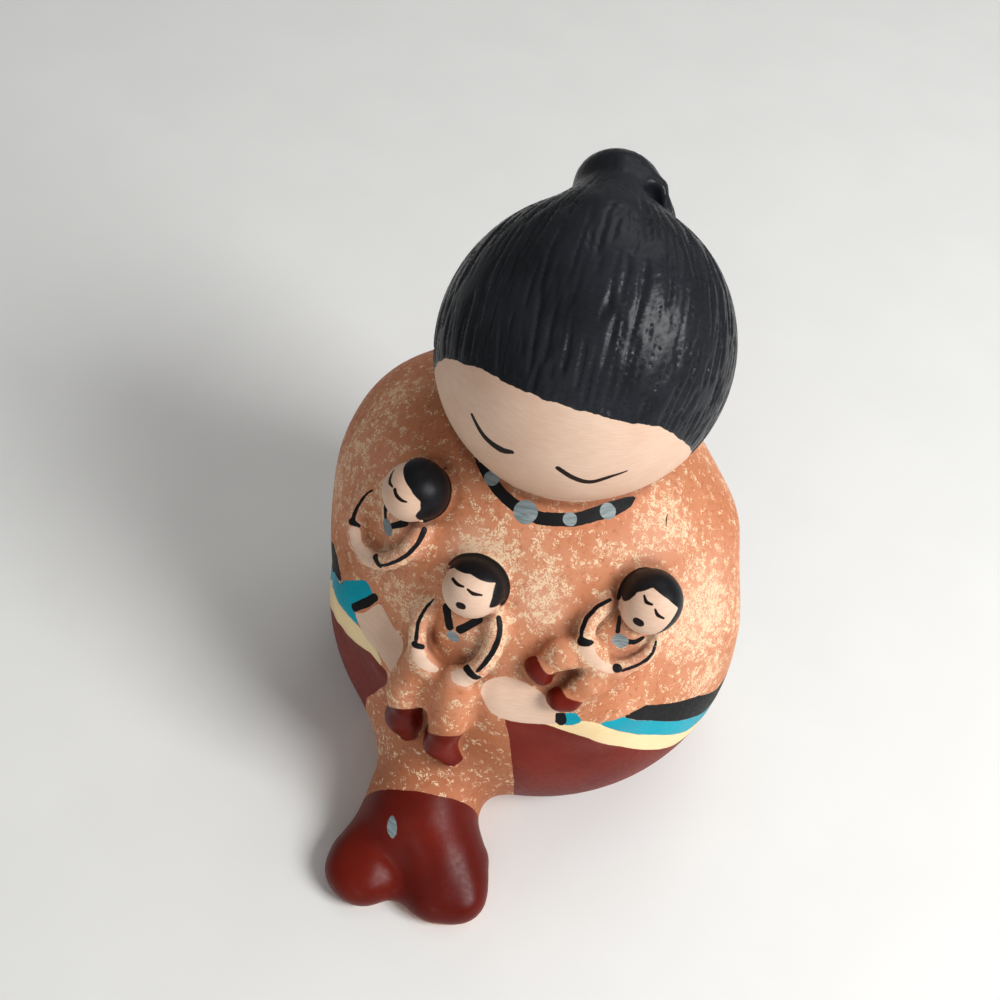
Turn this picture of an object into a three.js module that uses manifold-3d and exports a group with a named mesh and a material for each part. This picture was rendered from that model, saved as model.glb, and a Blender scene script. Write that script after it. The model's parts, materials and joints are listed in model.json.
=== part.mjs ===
// Pueblo storyteller figure in fired clay: a seated singer with three children
// Hand-built as one body: egg of the seated singer, round head with a coiled topknot, legs
// stretched out in front, and children modelled in relief on the chest and lap
// Millimetres, +Z up, the front of the figure faces -Y, its flat underside lies on Z = 0

import * as THREE from 'three';
import { mergeVertices } from 'three/addons/utils/BufferGeometryUtils.js';
import Module from 'manifold-3d';

const { Vector3, Matrix4, Euler, MathUtils } = THREE;

// Seated body: a wide egg with the sloping shoulders laid over it
const BODY_WIDTH = 101;
const BODY_DEPTH = 94;
const BODY_TOP = 80;
const BELLY_HEIGHT = 30;
const SHOULDER_WIDTH = 90;
const SHOULDER_DEPTH = 77;
const SHOULDER_TOP = 95;
const SHOULDER_THICKNESS = 66;
const SHOULDER_LEAN = { across: -7, back: 6.5 };
const SHOULDER_BLEND = 14;

// Head: a round skull, the fuller crown of the hair, and the knot coiled at the back
const HEAD_WIDTH = 58.8;
const HEAD_DEPTH = 60.8;
const HEAD_HEIGHT = 54.8;
const HEAD_SINK = 13.7;
const HEAD_LEAN = { across: -2.6, back: 7.7 };
const CROWN_WIDTH = 50.8;
const CROWN_DEPTH = 45.2;
const CROWN_HEIGHT = 58;
const CROWN_RISE = 5.1;
const CROWN_LEAN = { across: 2, back: 3.3 };
const CROWN_BLEND = 12;
const KNOT_WIDTH = 18.4;
const KNOT_DEPTH = 13;
const KNOT_HEIGHT = 17.2;
const KNOT_RISE = 23.3;
const KNOT_LEAN = { across: -1.7, back: 25.9 };
const COIL_WIDTH = 10.2;
const COIL_DEPTH = 11.6;
const COIL_HEIGHT = 13.6;
const COIL_OFFSET = { across: 8, forward: 1.2, down: 5.5 };
const DIMPLE_WIDTH = 4;
const DIMPLE_DEPTH = 3;

// Legs: held together, a little to the figure's right, ending in two rounded moccasins
const LEGS_ACROSS = -12;
const LEG_REACH = 68;
const THIGH_THICKNESS = 34;
const SHIN_THICKNESS = 18;
const FOOT_THICKNESS = 18.5;
const TOE_SPREAD = 19.7;

// Arms: low relief, wrapped forward round the children
const SHOULDER_THICK = 25;
const ELBOW_THICK = 19;
const WRIST_THICK = 13;
const HAND_THICK = 10.4;

// Children: one size for a head and a chest, each seated on the singer by its own scale
const CHILD_HEAD_WIDTH = 13.8;
const CHILD_HEAD_HEIGHT = 14.4;
const CHILD_HAIR = 1;
const CHILD_CHEST_WIDTH = 17.6;
const CHILD_CHEST_HEIGHT = 20;
const CHILD_CHEST_THICKNESS = 10.4;
const CHILD_ARM = 6;
const CHILD_LEG = 11;
const CHILD_FOOT = 8;
const CHILD_BACKING = 7;
const CHILD_REACH = 36;

// Softness of the joins between the lumps of clay
const LEG_BLEND = 12;
const ARM_BLEND = 8;
const CHILD_BLEND = 4;
const NECK_BLEND = 6;

// Facets: the longest and the shortest edge that the skin aims at, and how often it is smoothed
const COARSE_EDGE = 6;
const FINE_EDGE = 1.6;
const SMOOTHING_ROUNDS = 11;

// Where each child sits, as shares of the body's half width and of its height, in its own pose;
// hands and head are given in the child's own frame and legs by the spots that they run to
const CHILDREN = [
  {
    across: -0.62, height: 0.94, lift: -0.8, size: 0.92,
    turn: -42, lean: 25, roll: -16,
    head: [4.8, -2.8, 11.5], headRoll: 28,
    hands: [[-4.5, -1.9, -6.5], [0.5, -2.6, -7.8]],
    legs: [],
  },
  {
    across: -0.2, height: 0.805, lift: -0.1, size: 0.87,
    turn: -12, lean: 28, roll: -10,
    head: [2.0, -3.2, 11.8], headRoll: 10,
    hands: [[-6, -1.6, -7.5], [3.5, -2.4, -9]],
    legs: [
      { knee: [-0.372, 0.661, 1.2], foot: [-0.388, 0.513, 2.6] },
      { knee: [-0.194, 0.649, 0.6], foot: [-0.18, 0.475, 2.6] },
    ],
  },
  {
    across: 0.42, height: 0.856, lift: 1.4, size: 0.8,
    turn: 22, lean: 30, roll: 42,
    head: [-1.4, -3, 10.4], headRoll: 8,
    hands: [[-4, -1.6, -7], [2, -2.2, -8.2]],
    legs: [
      { knee: [0.287, 0.8, 1.8], foot: [0.158, 0.731, 1] },
      { knee: [0.347, 0.738, 1], foot: [0.267, 0.675, 1.4] },
    ],
  },
];

// A lump of clay knows its signed distance, negative inside, and its own rough closed shape
function lump(centre, size) {
  const radii = new Vector3(size[0] / 2, size[1] / 2, size[2] / 2);
  const middle = new Vector3(...centre);
  const distance = (p) => {
    const x = p.x - middle.x;
    const y = p.y - middle.y;
    const z = p.z - middle.z;
    const reach = Math.hypot(x / radii.x, y / radii.y, z / radii.z);
    const slope = Math.hypot(x / radii.x ** 2, y / radii.y ** 2, z / radii.z ** 2);
    return reach * (reach - 1) / Math.max(slope, 1e-9);
  };
  const detail = Math.max(...size) > 40 ? 6 : 3;
  const shape = new THREE.IcosahedronGeometry(1, detail);
  shape.scale(radii.x, radii.y, radii.z);
  shape.translate(middle.x, middle.y, middle.z);
  return { distance, shapes: [shape] };
}

// A limb is a round bar that tapers from one end's thickness to the other's
function limb(from, to, fromThickness, toThickness) {
  const start = new Vector3(...from);
  const run = new Vector3(...to).sub(start);
  const offset = new Vector3();
  const distance = (p) => {
    offset.subVectors(p, start);
    const share = MathUtils.clamp(offset.dot(run) / run.lengthSq(), 0, 1);
    offset.addScaledVector(run, -share);
    return offset.length() - MathUtils.lerp(fromThickness, toThickness, share) / 2;
  };
  const radius = (fromThickness + toThickness) / 4;
  const shape = new THREE.CapsuleGeometry(radius, run.length(), 4, 10);
  const along = new THREE.Quaternion().setFromUnitVectors(new Vector3(0, 1, 0), run.clone().normalize());
  shape.applyQuaternion(along);
  shape.translate(start.x + run.x / 2, start.y + run.y / 2, start.z + run.z / 2);
  return { distance, shapes: [shape] };
}

// Join lumps with a soft fillet as wide as the blend
function blend(width, ...lumps) {
  const distance = (p) => {
    let near = Infinity;
    for (const each of lumps) {
      const next = each.distance(p);
      const overlap = Math.max(width - Math.abs(near - next), 0) / width;
      near = Math.min(near, next) - overlap * overlap * width / 4;
    }
    return near;
  };
  return { distance, shapes: lumps.flatMap((each) => each.shapes) };
}

// Press a hollow of the tool's form into a lump
function hollow(width, form, tool) {
  const distance = (p) => {
    const solid = -form.distance(p);
    const pressed = tool.distance(p);
    const overlap = Math.max(width - Math.abs(solid - pressed), 0) / width;
    return -(Math.min(solid, pressed) - overlap * overlap * width / 4);
  };
  return { distance, shapes: form.shapes };
}

// Relief that the skin finds by itself, so that it adds nothing to the rough shape
function relief(form) {
  return { distance: form.distance, shapes: [] };
}

// Draw a form out backwards from a plane, so that relief stands on the body without a gap
function backed(form, plane, length) {
  const local = new Vector3();
  const distance = (p) => {
    local.copy(p);
    local.y -= MathUtils.clamp(p.y - plane, 0, length);
    return form.distance(local);
  };
  return { distance, shapes: form.shapes };
}

// Move a lump, with its scale, into place
function placed(form, matrix) {
  const back = matrix.clone().invert();
  const scale = new Vector3().setFromMatrixScale(matrix).x;
  const local = new Vector3();
  const distance = (p) => form.distance(local.copy(p).applyMatrix4(back)) * scale;
  const shapes = form.shapes.map((shape) => shape.clone().applyMatrix4(matrix));
  return { distance, shapes };
}

function turned(turn, lean, roll) {
  const angles = [-lean, roll, turn].map(MathUtils.degToRad);
  return new Matrix4().makeRotationFromEuler(new Euler(...angles, 'ZXY'));
}

// Beyond its reach a form answers with the distance to a ball round it
function within(form, centre, reach) {
  const distance = (p) => {
    const away = p.distanceTo(centre) - reach;
    return away > CHILD_BLEND ? away : form.distance(p);
  };
  return { distance, shapes: form.shapes };
}

// Direction in which the distance to a form grows, as long as it grows there
const PROBES = [[1, 1, 1], [1, -1, -1], [-1, 1, -1], [-1, -1, 1]].map((way) => new Vector3(...way));
function slope(form, point) {
  const step = 0.05;
  const probe = new Vector3();
  const out = new Vector3();
  for (const way of PROBES) {
    probe.copy(point).addScaledVector(way, step);
    out.addScaledVector(way, form.distance(probe) / (4 * step));
  }
  return out;
}

// Spot on the front of a form at a share of the body's width and height, lifted off it
function frontSpot(form, [across, height, lift]) {
  const point = new Vector3(across * BODY_WIDTH / 2, -2 * BODY_DEPTH, height * BODY_TOP);
  for (let step = 0; step < 80; step += 1) {
    point.y += 0.8 * form.distance(point);
  }
  return point.addScaledVector(slope(form, point).normalize(), lift);
}

function bodyForm() {
  const egg = lump(
    [0, 0.5, BELLY_HEIGHT],
    [BODY_WIDTH, BODY_DEPTH, 2 * (BODY_TOP - BELLY_HEIGHT)],
  );
  const shoulders = lump(
    [SHOULDER_LEAN.across, SHOULDER_LEAN.back, SHOULDER_TOP - SHOULDER_THICKNESS / 2],
    [SHOULDER_WIDTH, SHOULDER_DEPTH, SHOULDER_THICKNESS],
  );
  return blend(SHOULDER_BLEND, egg, shoulders);
}

function legForm() {
  const knee = -0.79 * LEG_REACH;
  const ankle = -0.78 * LEG_REACH;
  const thighs = limb([LEGS_ACROSS, -0.32 * LEG_REACH, 24], [LEGS_ACROSS, knee, 10.5], THIGH_THICKNESS, SHIN_THICKNESS);
  const calves = limb([LEGS_ACROSS, -0.4 * LEG_REACH, 9], [LEGS_ACROSS, knee, 7], 0.76 * THIGH_THICKNESS, SHIN_THICKNESS);
  const rightToe = LEGS_ACROSS + 4.15 - TOE_SPREAD / 2;
  const leftToe = LEGS_ACROSS + 4.15 + TOE_SPREAD / 2;
  const rightFoot = limb([rightToe + 3.2, ankle, 7], [rightToe, -1.01 * LEG_REACH, 8.5], 0.67 * FOOT_THICKNESS, 1.05 * FOOT_THICKNESS);
  const leftFoot = limb([leftToe - 7.3, ankle, 6.5], [leftToe, -0.985 * LEG_REACH, 8.5], 0.97 * FOOT_THICKNESS, 0.93 * FOOT_THICKNESS);
  return blend(7, thighs, calves, rightFoot, leftFoot);
}

// Each arm runs from the shoulder down to the elbow and forward across the belly
function armForm(shoulder, elbow, wrist, hand) {
  const upper = limb(shoulder, elbow, SHOULDER_THICK, ELBOW_THICK);
  const lower = limb(elbow, wrist, ELBOW_THICK, WRIST_THICK);
  const palm = limb(wrist, hand, WRIST_THICK, HAND_THICK);
  return relief(blend(ARM_BLEND, upper, lower, palm));
}

function armForms() {
  const wide = BODY_WIDTH / 2;
  const deep = BODY_DEPTH / 2;
  const right = armForm(
    [-0.65 * wide, 0.26 * deep, 69.5],
    [-0.69 * wide, -0.15 * deep, 51],
    [-0.68 * wide, -0.51 * deep, 48.5],
    [-0.475 * wide, -0.755 * deep, 46],
  );
  const left = armForm(
    [0.555 * wide, 0.15 * deep, 64],
    [0.695 * wide, -0.1 * deep, 48],
    [0.4 * wide, -0.68 * deep, 48.5],
    [0, -0.82 * deep, 50],
  );
  return [right, left];
}

function headForm() {
  const across = HEAD_LEAN.across;
  const back = HEAD_LEAN.back;
  const middle = SHOULDER_TOP - HEAD_SINK + HEAD_HEIGHT / 2;
  const skull = lump([across, back, middle], [HEAD_WIDTH, HEAD_DEPTH, HEAD_HEIGHT]);
  const crown = lump(
    [across + CROWN_LEAN.across, back + CROWN_LEAN.back, middle + CROWN_RISE],
    [CROWN_WIDTH, CROWN_DEPTH, CROWN_HEIGHT],
  );
  const knotSpot = [across + KNOT_LEAN.across, back + KNOT_LEAN.back, middle + KNOT_RISE];
  const knot = lump(knotSpot, [KNOT_WIDTH, KNOT_DEPTH, KNOT_HEIGHT]);
  const coilSpot = [
    knotSpot[0] + COIL_OFFSET.across,
    knotSpot[1] - COIL_OFFSET.forward,
    knotSpot[2] - COIL_OFFSET.down,
  ];
  const coil = lump(coilSpot, [COIL_WIDTH, COIL_DEPTH, COIL_HEIGHT]);
  const bun = blend(3, knot, coil);
  const hair = blend(5, blend(CROWN_BLEND, skull, crown), bun);
  const dimpleSpot = [coilSpot[0] - 0.25, knotSpot[1] - 5.5, coilSpot[2] + 5.8];
  const dimple = lump(dimpleSpot, [DIMPLE_WIDTH, 2.2 * DIMPLE_DEPTH, 2 * DIMPLE_DEPTH]);
  return hollow(2, hair, dimple);
}

// A child's chest, with a shallow lap between the arms, and the arms wrapped round it
function childChest(child) {
  const wide = CHILD_CHEST_WIDTH / 2;
  const tall = CHILD_CHEST_HEIGHT / 2;
  const front = CHILD_CHEST_THICKNESS / 2;
  const chest = lump([0, 1.5, -0.5], [CHILD_CHEST_WIDTH, CHILD_CHEST_THICKNESS, CHILD_CHEST_HEIGHT]);
  const dip = lump([-0.3, -front, -1], [wide, front, 1.1 * tall]);
  const arms = child.hands.map((hand, index) => {
    const side = index === 0 ? -1 : 1;
    const shoulder = [side * 0.68 * wide, 0, 0.6 * tall];
    const elbow = [side * 0.91 * wide, -1, -0.05 * tall];
    const upper = limb(shoulder, elbow, CHILD_ARM, CHILD_ARM);
    const lower = limb(elbow, hand, CHILD_ARM, 0.84 * CHILD_ARM);
    return relief(blend(3, upper, lower));
  });
  const all = blend(2.5, hollow(2.5, chest, dip), ...arms);
  return backed(all, -0.5, CHILD_BACKING);
}

function childHead() {
  const width = CHILD_HEAD_WIDTH;
  const height = CHILD_HEAD_HEIGHT;
  const face = lump([0, 0, 0], [width, width - 0.6, height]);
  const hair = lump(
    [0, 1.4, 1.4 * CHILD_HAIR],
    [width + 2 * CHILD_HAIR, width, height],
  );
  return backed(blend(1, face, hair), 1, 0.4 * CHILD_BACKING);
}

function childForm(child, bare) {
  const at = frontSpot(bare, [child.across, child.height, child.lift]);
  const pose = turned(child.turn, child.lean, child.roll).setPosition(at);
  const chestPose = pose.clone().scale(new Vector3(child.size, child.size, child.size));
  const headPose = pose.clone()
    .multiply(new Matrix4().makeTranslation(...child.head))
    .multiply(turned(0, 0, child.headRoll));
  const feet = child.legs.map((leg) => frontSpot(bare, leg.foot));
  const legs = child.legs.map((leg, index) => {
    const knee = frontSpot(bare, leg.knee);
    const foot = feet[index];
    const hip = knee.clone().lerp(at, 0.5);
    const thigh = limb(hip.toArray(), knee.toArray(), 1.15 * CHILD_LEG, CHILD_LEG);
    const shin = limb(knee.toArray(), foot.toArray(), CHILD_LEG, CHILD_FOOT);
    return relief(blend(2, thigh, shin));
  });
  const chest = blend(2.5, placed(childChest(child), chestPose), ...legs);
  const head = placed(childHead(), headPose);
  return { at, feet, form: within(blend(CHILD_BLEND, chest, head), at, CHILD_REACH) };
}

function figureForm() {
  const trunk = blend(LEG_BLEND, bodyForm(), legForm());
  const bare = blend(ARM_BLEND, trunk, ...armForms());
  const children = CHILDREN.map((child) => childForm(child, bare));
  const held = blend(CHILD_BLEND, bare, ...children.map((child) => child.form));
  return { form: blend(NECK_BLEND, held, headForm()), children };
}

// A skin of triangles that is evened out and settled on the form
class Skin {
  constructor(points, faces, form, goal) {
    this.points = points;
    this.faces = faces;
    this.form = form;
    this.goal = goal;
  }

  edgeKey(a, b) {
    return Math.min(a, b) * 1e6 + Math.max(a, b);
  }

  // Halve the edges that are too long, with every triangle cut to match its neighbours
  split() {
    const { points, goal } = this;
    const middles = new Map();
    const middle = (a, b) => {
      const key = this.edgeKey(a, b);
      if (!middles.has(key)) {
        const point = points[a].clone().lerp(points[b], 0.5);
        const long = points[a].distanceTo(points[b]) > 1.35 * goal(point);
        middles.set(key, long ? points.push(point) - 1 : -1);
      }
      return middles.get(key);
    };
    const next = [];
    for (const face of this.faces) {
      let [a, b, c] = face;
      let marks = [middle(a, b), middle(b, c), middle(c, a)];
      const cuts = marks.filter((mark) => mark >= 0).length;
      const lead = cuts === 1 ? (m) => m[0] < 0 : (m) => m[2] >= 0;
      while (cuts > 0 && cuts < 3 && lead(marks)) {
        [a, b, c] = [b, c, a];
        marks = [marks[1], marks[2], marks[0]];
      }
      const [ab, bc, ca] = marks;
      if (cuts === 0) {
        next.push([a, b, c]);
      } else if (cuts === 1) {
        next.push([a, ab, c], [ab, b, c]);
      } else if (cuts === 2) {
        next.push([ab, b, bc], [a, ab, bc], [a, bc, c]);
      } else {
        next.push([a, ab, ca], [ab, b, bc], [ca, bc, c], [ab, bc, ca]);
      }
    }
    this.faces = next;
  }

  ring() {
    const faces = this.points.map(() => []);
    this.faces.forEach((face, index) => face.forEach((corner) => faces[corner].push(index)));
    const near = faces.map((list, corner) => {
      const around = new Set(list.flatMap((index) => this.faces[index]));
      around.delete(corner);
      return around;
    });
    return { faces, near };
  }

  normal([a, b, c]) {
    const { points } = this;
    const side = points[b].clone().sub(points[a]);
    return side.cross(points[c].clone().sub(points[a]));
  }

  // Height of a face over its longest side, as a share of that side
  shapeliness(face) {
    const corners = face.map((corner) => this.points[corner]);
    const longest = Math.max(...corners.map((corner, k) => corner.distanceTo(corners[(k + 1) % 3])));
    return this.normal(face).length() / longest ** 2;
  }

  // Whether moving one corner of a face to a spot would turn the face over or flatten it
  wouldSpoil(face, corner, spot) {
    const before = this.normal(face);
    const shape = this.shapeliness(face);
    const kept = this.points[corner];
    this.points[corner] = spot;
    const after = this.normal(face);
    const reshaped = this.shapeliness(face);
    this.points[corner] = kept;
    const over = shape > 0.1 && before.dot(after) < 0.3 * before.length() * after.length();
    return over || reshaped < Math.min(0.1, shape);
  }

  // Close up the edges that are too short
  close() {
    const { points, goal } = this;
    const { faces, near } = this.ring();
    const busy = new Set();
    const gone = new Set();
    for (let a = 0; a < points.length; a += 1) {
      for (const b of near[a]) {
        if (b < a || busy.has(a) || busy.has(b)) {
          continue;
        }
        const spot = points[a].clone().lerp(points[b], 0.5);
        const aim = goal(spot);
        const length = points[a].distanceTo(points[b]);
        const shared = [...near[a]].filter((corner) => near[b].has(corner));
        const around = new Set([...near[a], ...near[b]]);
        if (length > 0.75 * aim || shared.length !== 2) {
          continue;
        }
        if ([...around].some((corner) => points[corner].distanceTo(spot) > 1.3 * aim)) {
          continue;
        }
        const both = faces[a].filter((index) => this.faces[index].includes(b));
        const turns = (corner) => faces[corner]
          .some((index) => !both.includes(index) && this.wouldSpoil(this.faces[index], corner, spot));
        if (length > 0.4 * aim && (turns(a) || turns(b))) {
          continue;
        }
        for (const index of faces[b]) {
          this.faces[index] = this.faces[index].map((corner) => (corner === b ? a : corner));
        }
        both.forEach((index) => gone.add(index));
        points[a] = spot;
        around.forEach((corner) => busy.add(corner));
        busy.add(a).add(b);
      }
    }
    this.faces = this.faces.filter((face, index) => !gone.has(index));
    this.compact();
  }

  compact() {
    const used = new Map();
    const kept = [];
    this.faces = this.faces.map((face) => face.map((corner) => {
      if (!used.has(corner)) {
        used.set(corner, kept.push(this.points[corner]) - 1);
      }
      return used.get(corner);
    }));
    this.points = kept;
  }

  // Turn the edges whose corners then have nearer to six neighbours each, or better shaped faces
  turn() {
    const { near } = this.ring();
    const valence = near.map((around) => around.size);
    const sides = new Map();
    const busy = new Set();
    const made = new Set();
    this.faces.forEach((face, index) => face.forEach((a, k) => {
      const b = face[(k + 1) % 3];
      sides.set(a * 1e6 + b, { index, tip: face[(k + 2) % 3] });
    }));
    for (const [key, side] of sides) {
      const a = Math.floor(key / 1e6);
      const b = key % 1e6;
      const other = sides.get(b * 1e6 + a);
      if (a > b || !other || busy.has(side.index) || busy.has(other.index)) {
        continue;
      }
      const c = side.tip;
      const d = other.tip;
      const off = (corner, change) => Math.abs(valence[corner] + change - 6);
      const before = off(a, 0) + off(b, 0) + off(c, 0) + off(d, 0);
      const after = off(a, -1) + off(b, -1) + off(c, 1) + off(d, 1);
      const worst = Math.min(this.shapeliness([a, b, c]), this.shapeliness([b, a, d]));
      const turned = Math.min(this.shapeliness([a, d, c]), this.shapeliness([d, b, c]));
      const better = turned > 1.5 * worst && worst < 0.3;
      const evener = after < before && turned > 0.3;
      if (!(better || evener) || near[c].has(d) || made.has(this.edgeKey(c, d))) {
        continue;
      }
      const old = this.normal([a, b, c]).add(this.normal([b, a, d])).normalize();
      const first = this.normal([a, d, c]).normalize();
      const second = this.normal([d, b, c]).normalize();
      if (Math.min(first.dot(old), second.dot(old)) < 0.6) {
        continue;
      }
      this.faces[side.index] = [a, d, c];
      this.faces[other.index] = [d, b, c];
      made.add(this.edgeKey(c, d));
      busy.add(side.index).add(other.index);
      valence[a] -= 1;
      valence[b] -= 1;
      valence[c] += 1;
      valence[d] += 1;
    }
  }

  // Slide every corner towards the middle of its neighbours, then on to the form
  relax() {
    const { near } = this.ring();
    for (let pass = 0; pass < 3; pass += 1) {
      this.points = this.points.map((point, corner) => {
        const middle = new Vector3();
        near[corner].forEach((other) => middle.add(this.points[other]));
        middle.divideScalar(near[corner].size);
        return point.clone().lerp(middle, 0.6);
      });
      this.settle();
    }
  }

  settle() {
    for (const point of this.points) {
      for (let step = 0; step < 2; step += 1) {
        const out = slope(this.form, point);
        const pull = this.form.distance(point) / Math.max(out.lengthSq(), 0.3);
        point.addScaledVector(out, -MathUtils.clamp(pull, -4, 4));
      }
    }
  }
}

// Closed three.js geometry to and from a solid that can be joined and cut
function solidOf(wasm, geometry) {
  const bare = new THREE.BufferGeometry();
  bare.setAttribute('position', geometry.getAttribute('position').clone());
  bare.setIndex(geometry.getIndex());
  const merged = mergeVertices(bare, 1e-4);
  const corners = merged.getIndex().array;
  const kept = [];
  for (let k = 0; k < corners.length; k += 3) {
    const [a, b, c] = corners.slice(k, k + 3);
    if (a !== b && b !== c && c !== a) {
      kept.push(a, b, c);
    }
  }
  const triVerts = new Uint32Array(kept);
  const vertProperties = new Float32Array(merged.getAttribute('position').array);
  return new wasm.Manifold(new wasm.Mesh({ numProp: 3, vertProperties, triVerts }));
}

function geometryOf(points, faces) {
  const geometry = new THREE.BufferGeometry();
  geometry.setAttribute('position', new THREE.Float32BufferAttribute(points.flatMap((p) => p.toArray()), 3));
  geometry.setIndex(faces.flat());
  return geometry;
}

function skinOf(solid, form, goal) {
  const mesh = solid.getMesh();
  const points = [];
  for (let k = 0; k < mesh.vertProperties.length; k += mesh.numProp) {
    points.push(new Vector3().fromArray(mesh.vertProperties, k));
  }
  const faces = [];
  for (let k = 0; k < mesh.triVerts.length; k += 3) {
    faces.push([...mesh.triVerts.slice(k, k + 3)]);
  }
  return new Skin(points, faces, form, goal);
}

// Finer facets close to the children, the knot, the neck and the toes than on the plain body
function facetGoal(children) {
  const middle = SHOULDER_TOP - HEAD_SINK + HEAD_HEIGHT / 2;
  const bun = new Vector3(0, HEAD_LEAN.back + KNOT_LEAN.back, middle + KNOT_RISE);
  const toes = new Vector3(LEGS_ACROSS, -LEG_REACH, 0);
  const spots = [
    ...children.map((child) => ({ centre: child.at, radius: 15, edge: FINE_EDGE })),
    ...children.flatMap((child) => child.feet.map((foot) => ({ centre: foot, radius: 7, edge: FINE_EDGE }))),
    { centre: bun, radius: 8, edge: FINE_EDGE },
    { centre: toes, radius: 22, edge: 2 * FINE_EDGE },
  ];
  return (point) => {
    const neck = 2 * FINE_EDGE + 0.3 * Math.abs(point.z - SHOULDER_TOP + HEAD_SINK / 3);
    let goal = Math.min(COARSE_EDGE, neck);
    for (const spot of spots) {
      const away = Math.max(point.distanceTo(spot.centre) - spot.radius, 0);
      goal = Math.min(goal, spot.edge + 0.2 * away);
    }
    return goal;
  };
}

async function buildFigure() {
  const wasm = await Module();
  wasm.setup();
  const { form, children } = figureForm();
  const rough = form.shapes.map((shape) => solidOf(wasm, shape));
  const joined = rough.reduce((whole, each) => whole.add(each));
  const skin = skinOf(joined, form, facetGoal(children));
  for (let round = 0; round < SMOOTHING_ROUNDS; round += 1) {
    skin.split();
    skin.settle();
    skin.close();
    skin.close();
    skin.turn();
    skin.relax();
  }
  const whole = solidOf(wasm, geometryOf(skin.points, skin.faces));
  const room = 4 * BODY_WIDTH;
  const table = new THREE.BoxGeometry(room, room, room);
  table.translate(0, 0, -room / 2);
  const cut = whole.subtract(solidOf(wasm, table)).getMesh();
  const geometry = new THREE.BufferGeometry();
  geometry.setAttribute('position', new THREE.Float32BufferAttribute(cut.vertProperties, 3));
  geometry.setIndex([...cut.triVerts]);
  geometry.computeBoundingBox();
  const middle = geometry.boundingBox.getCenter(new Vector3());
  geometry.translate(-middle.x, -middle.y, -geometry.boundingBox.min.z);
  geometry.computeVertexNormals();
  return geometry;
}

const clay = new THREE.MeshStandardMaterial({ color: 0xc08058, roughness: 0.6, metalness: 0 });
const figure = new THREE.Mesh(await buildFigure(), clay);
figure.name = 'storyteller_figure';

const group = new THREE.Group();
group.add(figure);

export default group;
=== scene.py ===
"""Looks of the seated singer and three children, made as one body of painted clay.

The clay is a distance field in millimetres, in the frame of the part's source, with crisper joins
between its lumps. A skin of triangles is drawn over the field, made finer where the children, the
hair and the brush strokes need it, combed along the hair and painted. Blender gets it in metres.
"""

import json
import logging
import math
from collections.abc import Iterable, Sequence
from dataclasses import dataclass
from enum import Enum

import bpy
import numpy as np
from mathutils import Matrix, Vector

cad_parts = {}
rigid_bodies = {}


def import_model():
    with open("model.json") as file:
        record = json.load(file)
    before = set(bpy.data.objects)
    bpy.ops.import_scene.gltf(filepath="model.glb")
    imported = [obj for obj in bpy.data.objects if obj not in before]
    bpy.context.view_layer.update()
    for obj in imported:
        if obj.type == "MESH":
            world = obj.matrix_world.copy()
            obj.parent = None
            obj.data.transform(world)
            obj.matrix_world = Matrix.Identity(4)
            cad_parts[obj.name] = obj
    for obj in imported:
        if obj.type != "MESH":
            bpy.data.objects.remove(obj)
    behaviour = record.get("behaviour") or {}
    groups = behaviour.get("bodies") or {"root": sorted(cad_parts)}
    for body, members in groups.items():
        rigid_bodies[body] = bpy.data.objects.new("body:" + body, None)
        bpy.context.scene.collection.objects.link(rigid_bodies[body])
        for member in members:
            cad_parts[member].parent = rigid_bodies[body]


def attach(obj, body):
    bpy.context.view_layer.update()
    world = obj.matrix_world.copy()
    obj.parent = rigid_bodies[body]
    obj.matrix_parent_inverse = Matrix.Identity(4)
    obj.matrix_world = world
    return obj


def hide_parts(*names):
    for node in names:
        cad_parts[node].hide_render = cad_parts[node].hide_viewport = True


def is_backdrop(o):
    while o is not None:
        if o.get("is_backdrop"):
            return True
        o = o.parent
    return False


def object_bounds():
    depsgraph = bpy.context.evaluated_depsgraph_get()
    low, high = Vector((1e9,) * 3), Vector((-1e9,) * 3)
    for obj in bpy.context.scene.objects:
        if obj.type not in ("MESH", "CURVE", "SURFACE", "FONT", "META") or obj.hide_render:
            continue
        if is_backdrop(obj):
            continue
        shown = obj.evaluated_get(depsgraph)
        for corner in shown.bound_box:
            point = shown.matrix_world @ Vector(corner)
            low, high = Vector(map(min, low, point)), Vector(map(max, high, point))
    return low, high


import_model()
cad_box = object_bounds()

log = logging.getLogger("storyteller")

FIGURE_NODE = "storyteller_figure"
MILLIMETRE = 0.001

# Where the body's upright axis stands in the part's frame.
BODY_AXIS = (0.86, 15.34, 0.0)
# Keeps a division from dividing by nothing.
TINY = 1e-9
# Stands for every distance that is too long to matter.
FAR = 9.0
# The longest distance that the skin carries.
KEPT = 4.0
# How fast the difference of two distances grows across the line where their forms meet.
MEETING = 1.4
# The four ways in which a slope is felt out, to the corners of a tetrahedron.
FEELERS = np.array([(1, 1, 1), (1, -1, -1), (-1, 1, -1), (-1, -1, 1)], float)

Array = np.ndarray
Socket = bpy.types.NodeSocket
Triple = tuple[float, float, float]
Pair = tuple[float, float]


class Layer(Enum):
    """Coats of paint, each kept on the skin as the distance to its edge, negative inside."""

    SKIN = "paint_skin"
    SKIRT = "paint_skirt"
    CREAM = "paint_cream"
    TURQUOISE = "paint_turquoise"
    BLACK = "paint_black"
    SHOE = "paint_shoe"
    HAIR = "paint_hair"
    CAP = "paint_cap"
    SILVER = "paint_silver"
    LINE = "paint_line"


def length(vectors: Array) -> Array:
    """Length of each row of vectors."""
    return np.sqrt(np.einsum("ij,ij->i", vectors, vectors))


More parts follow.
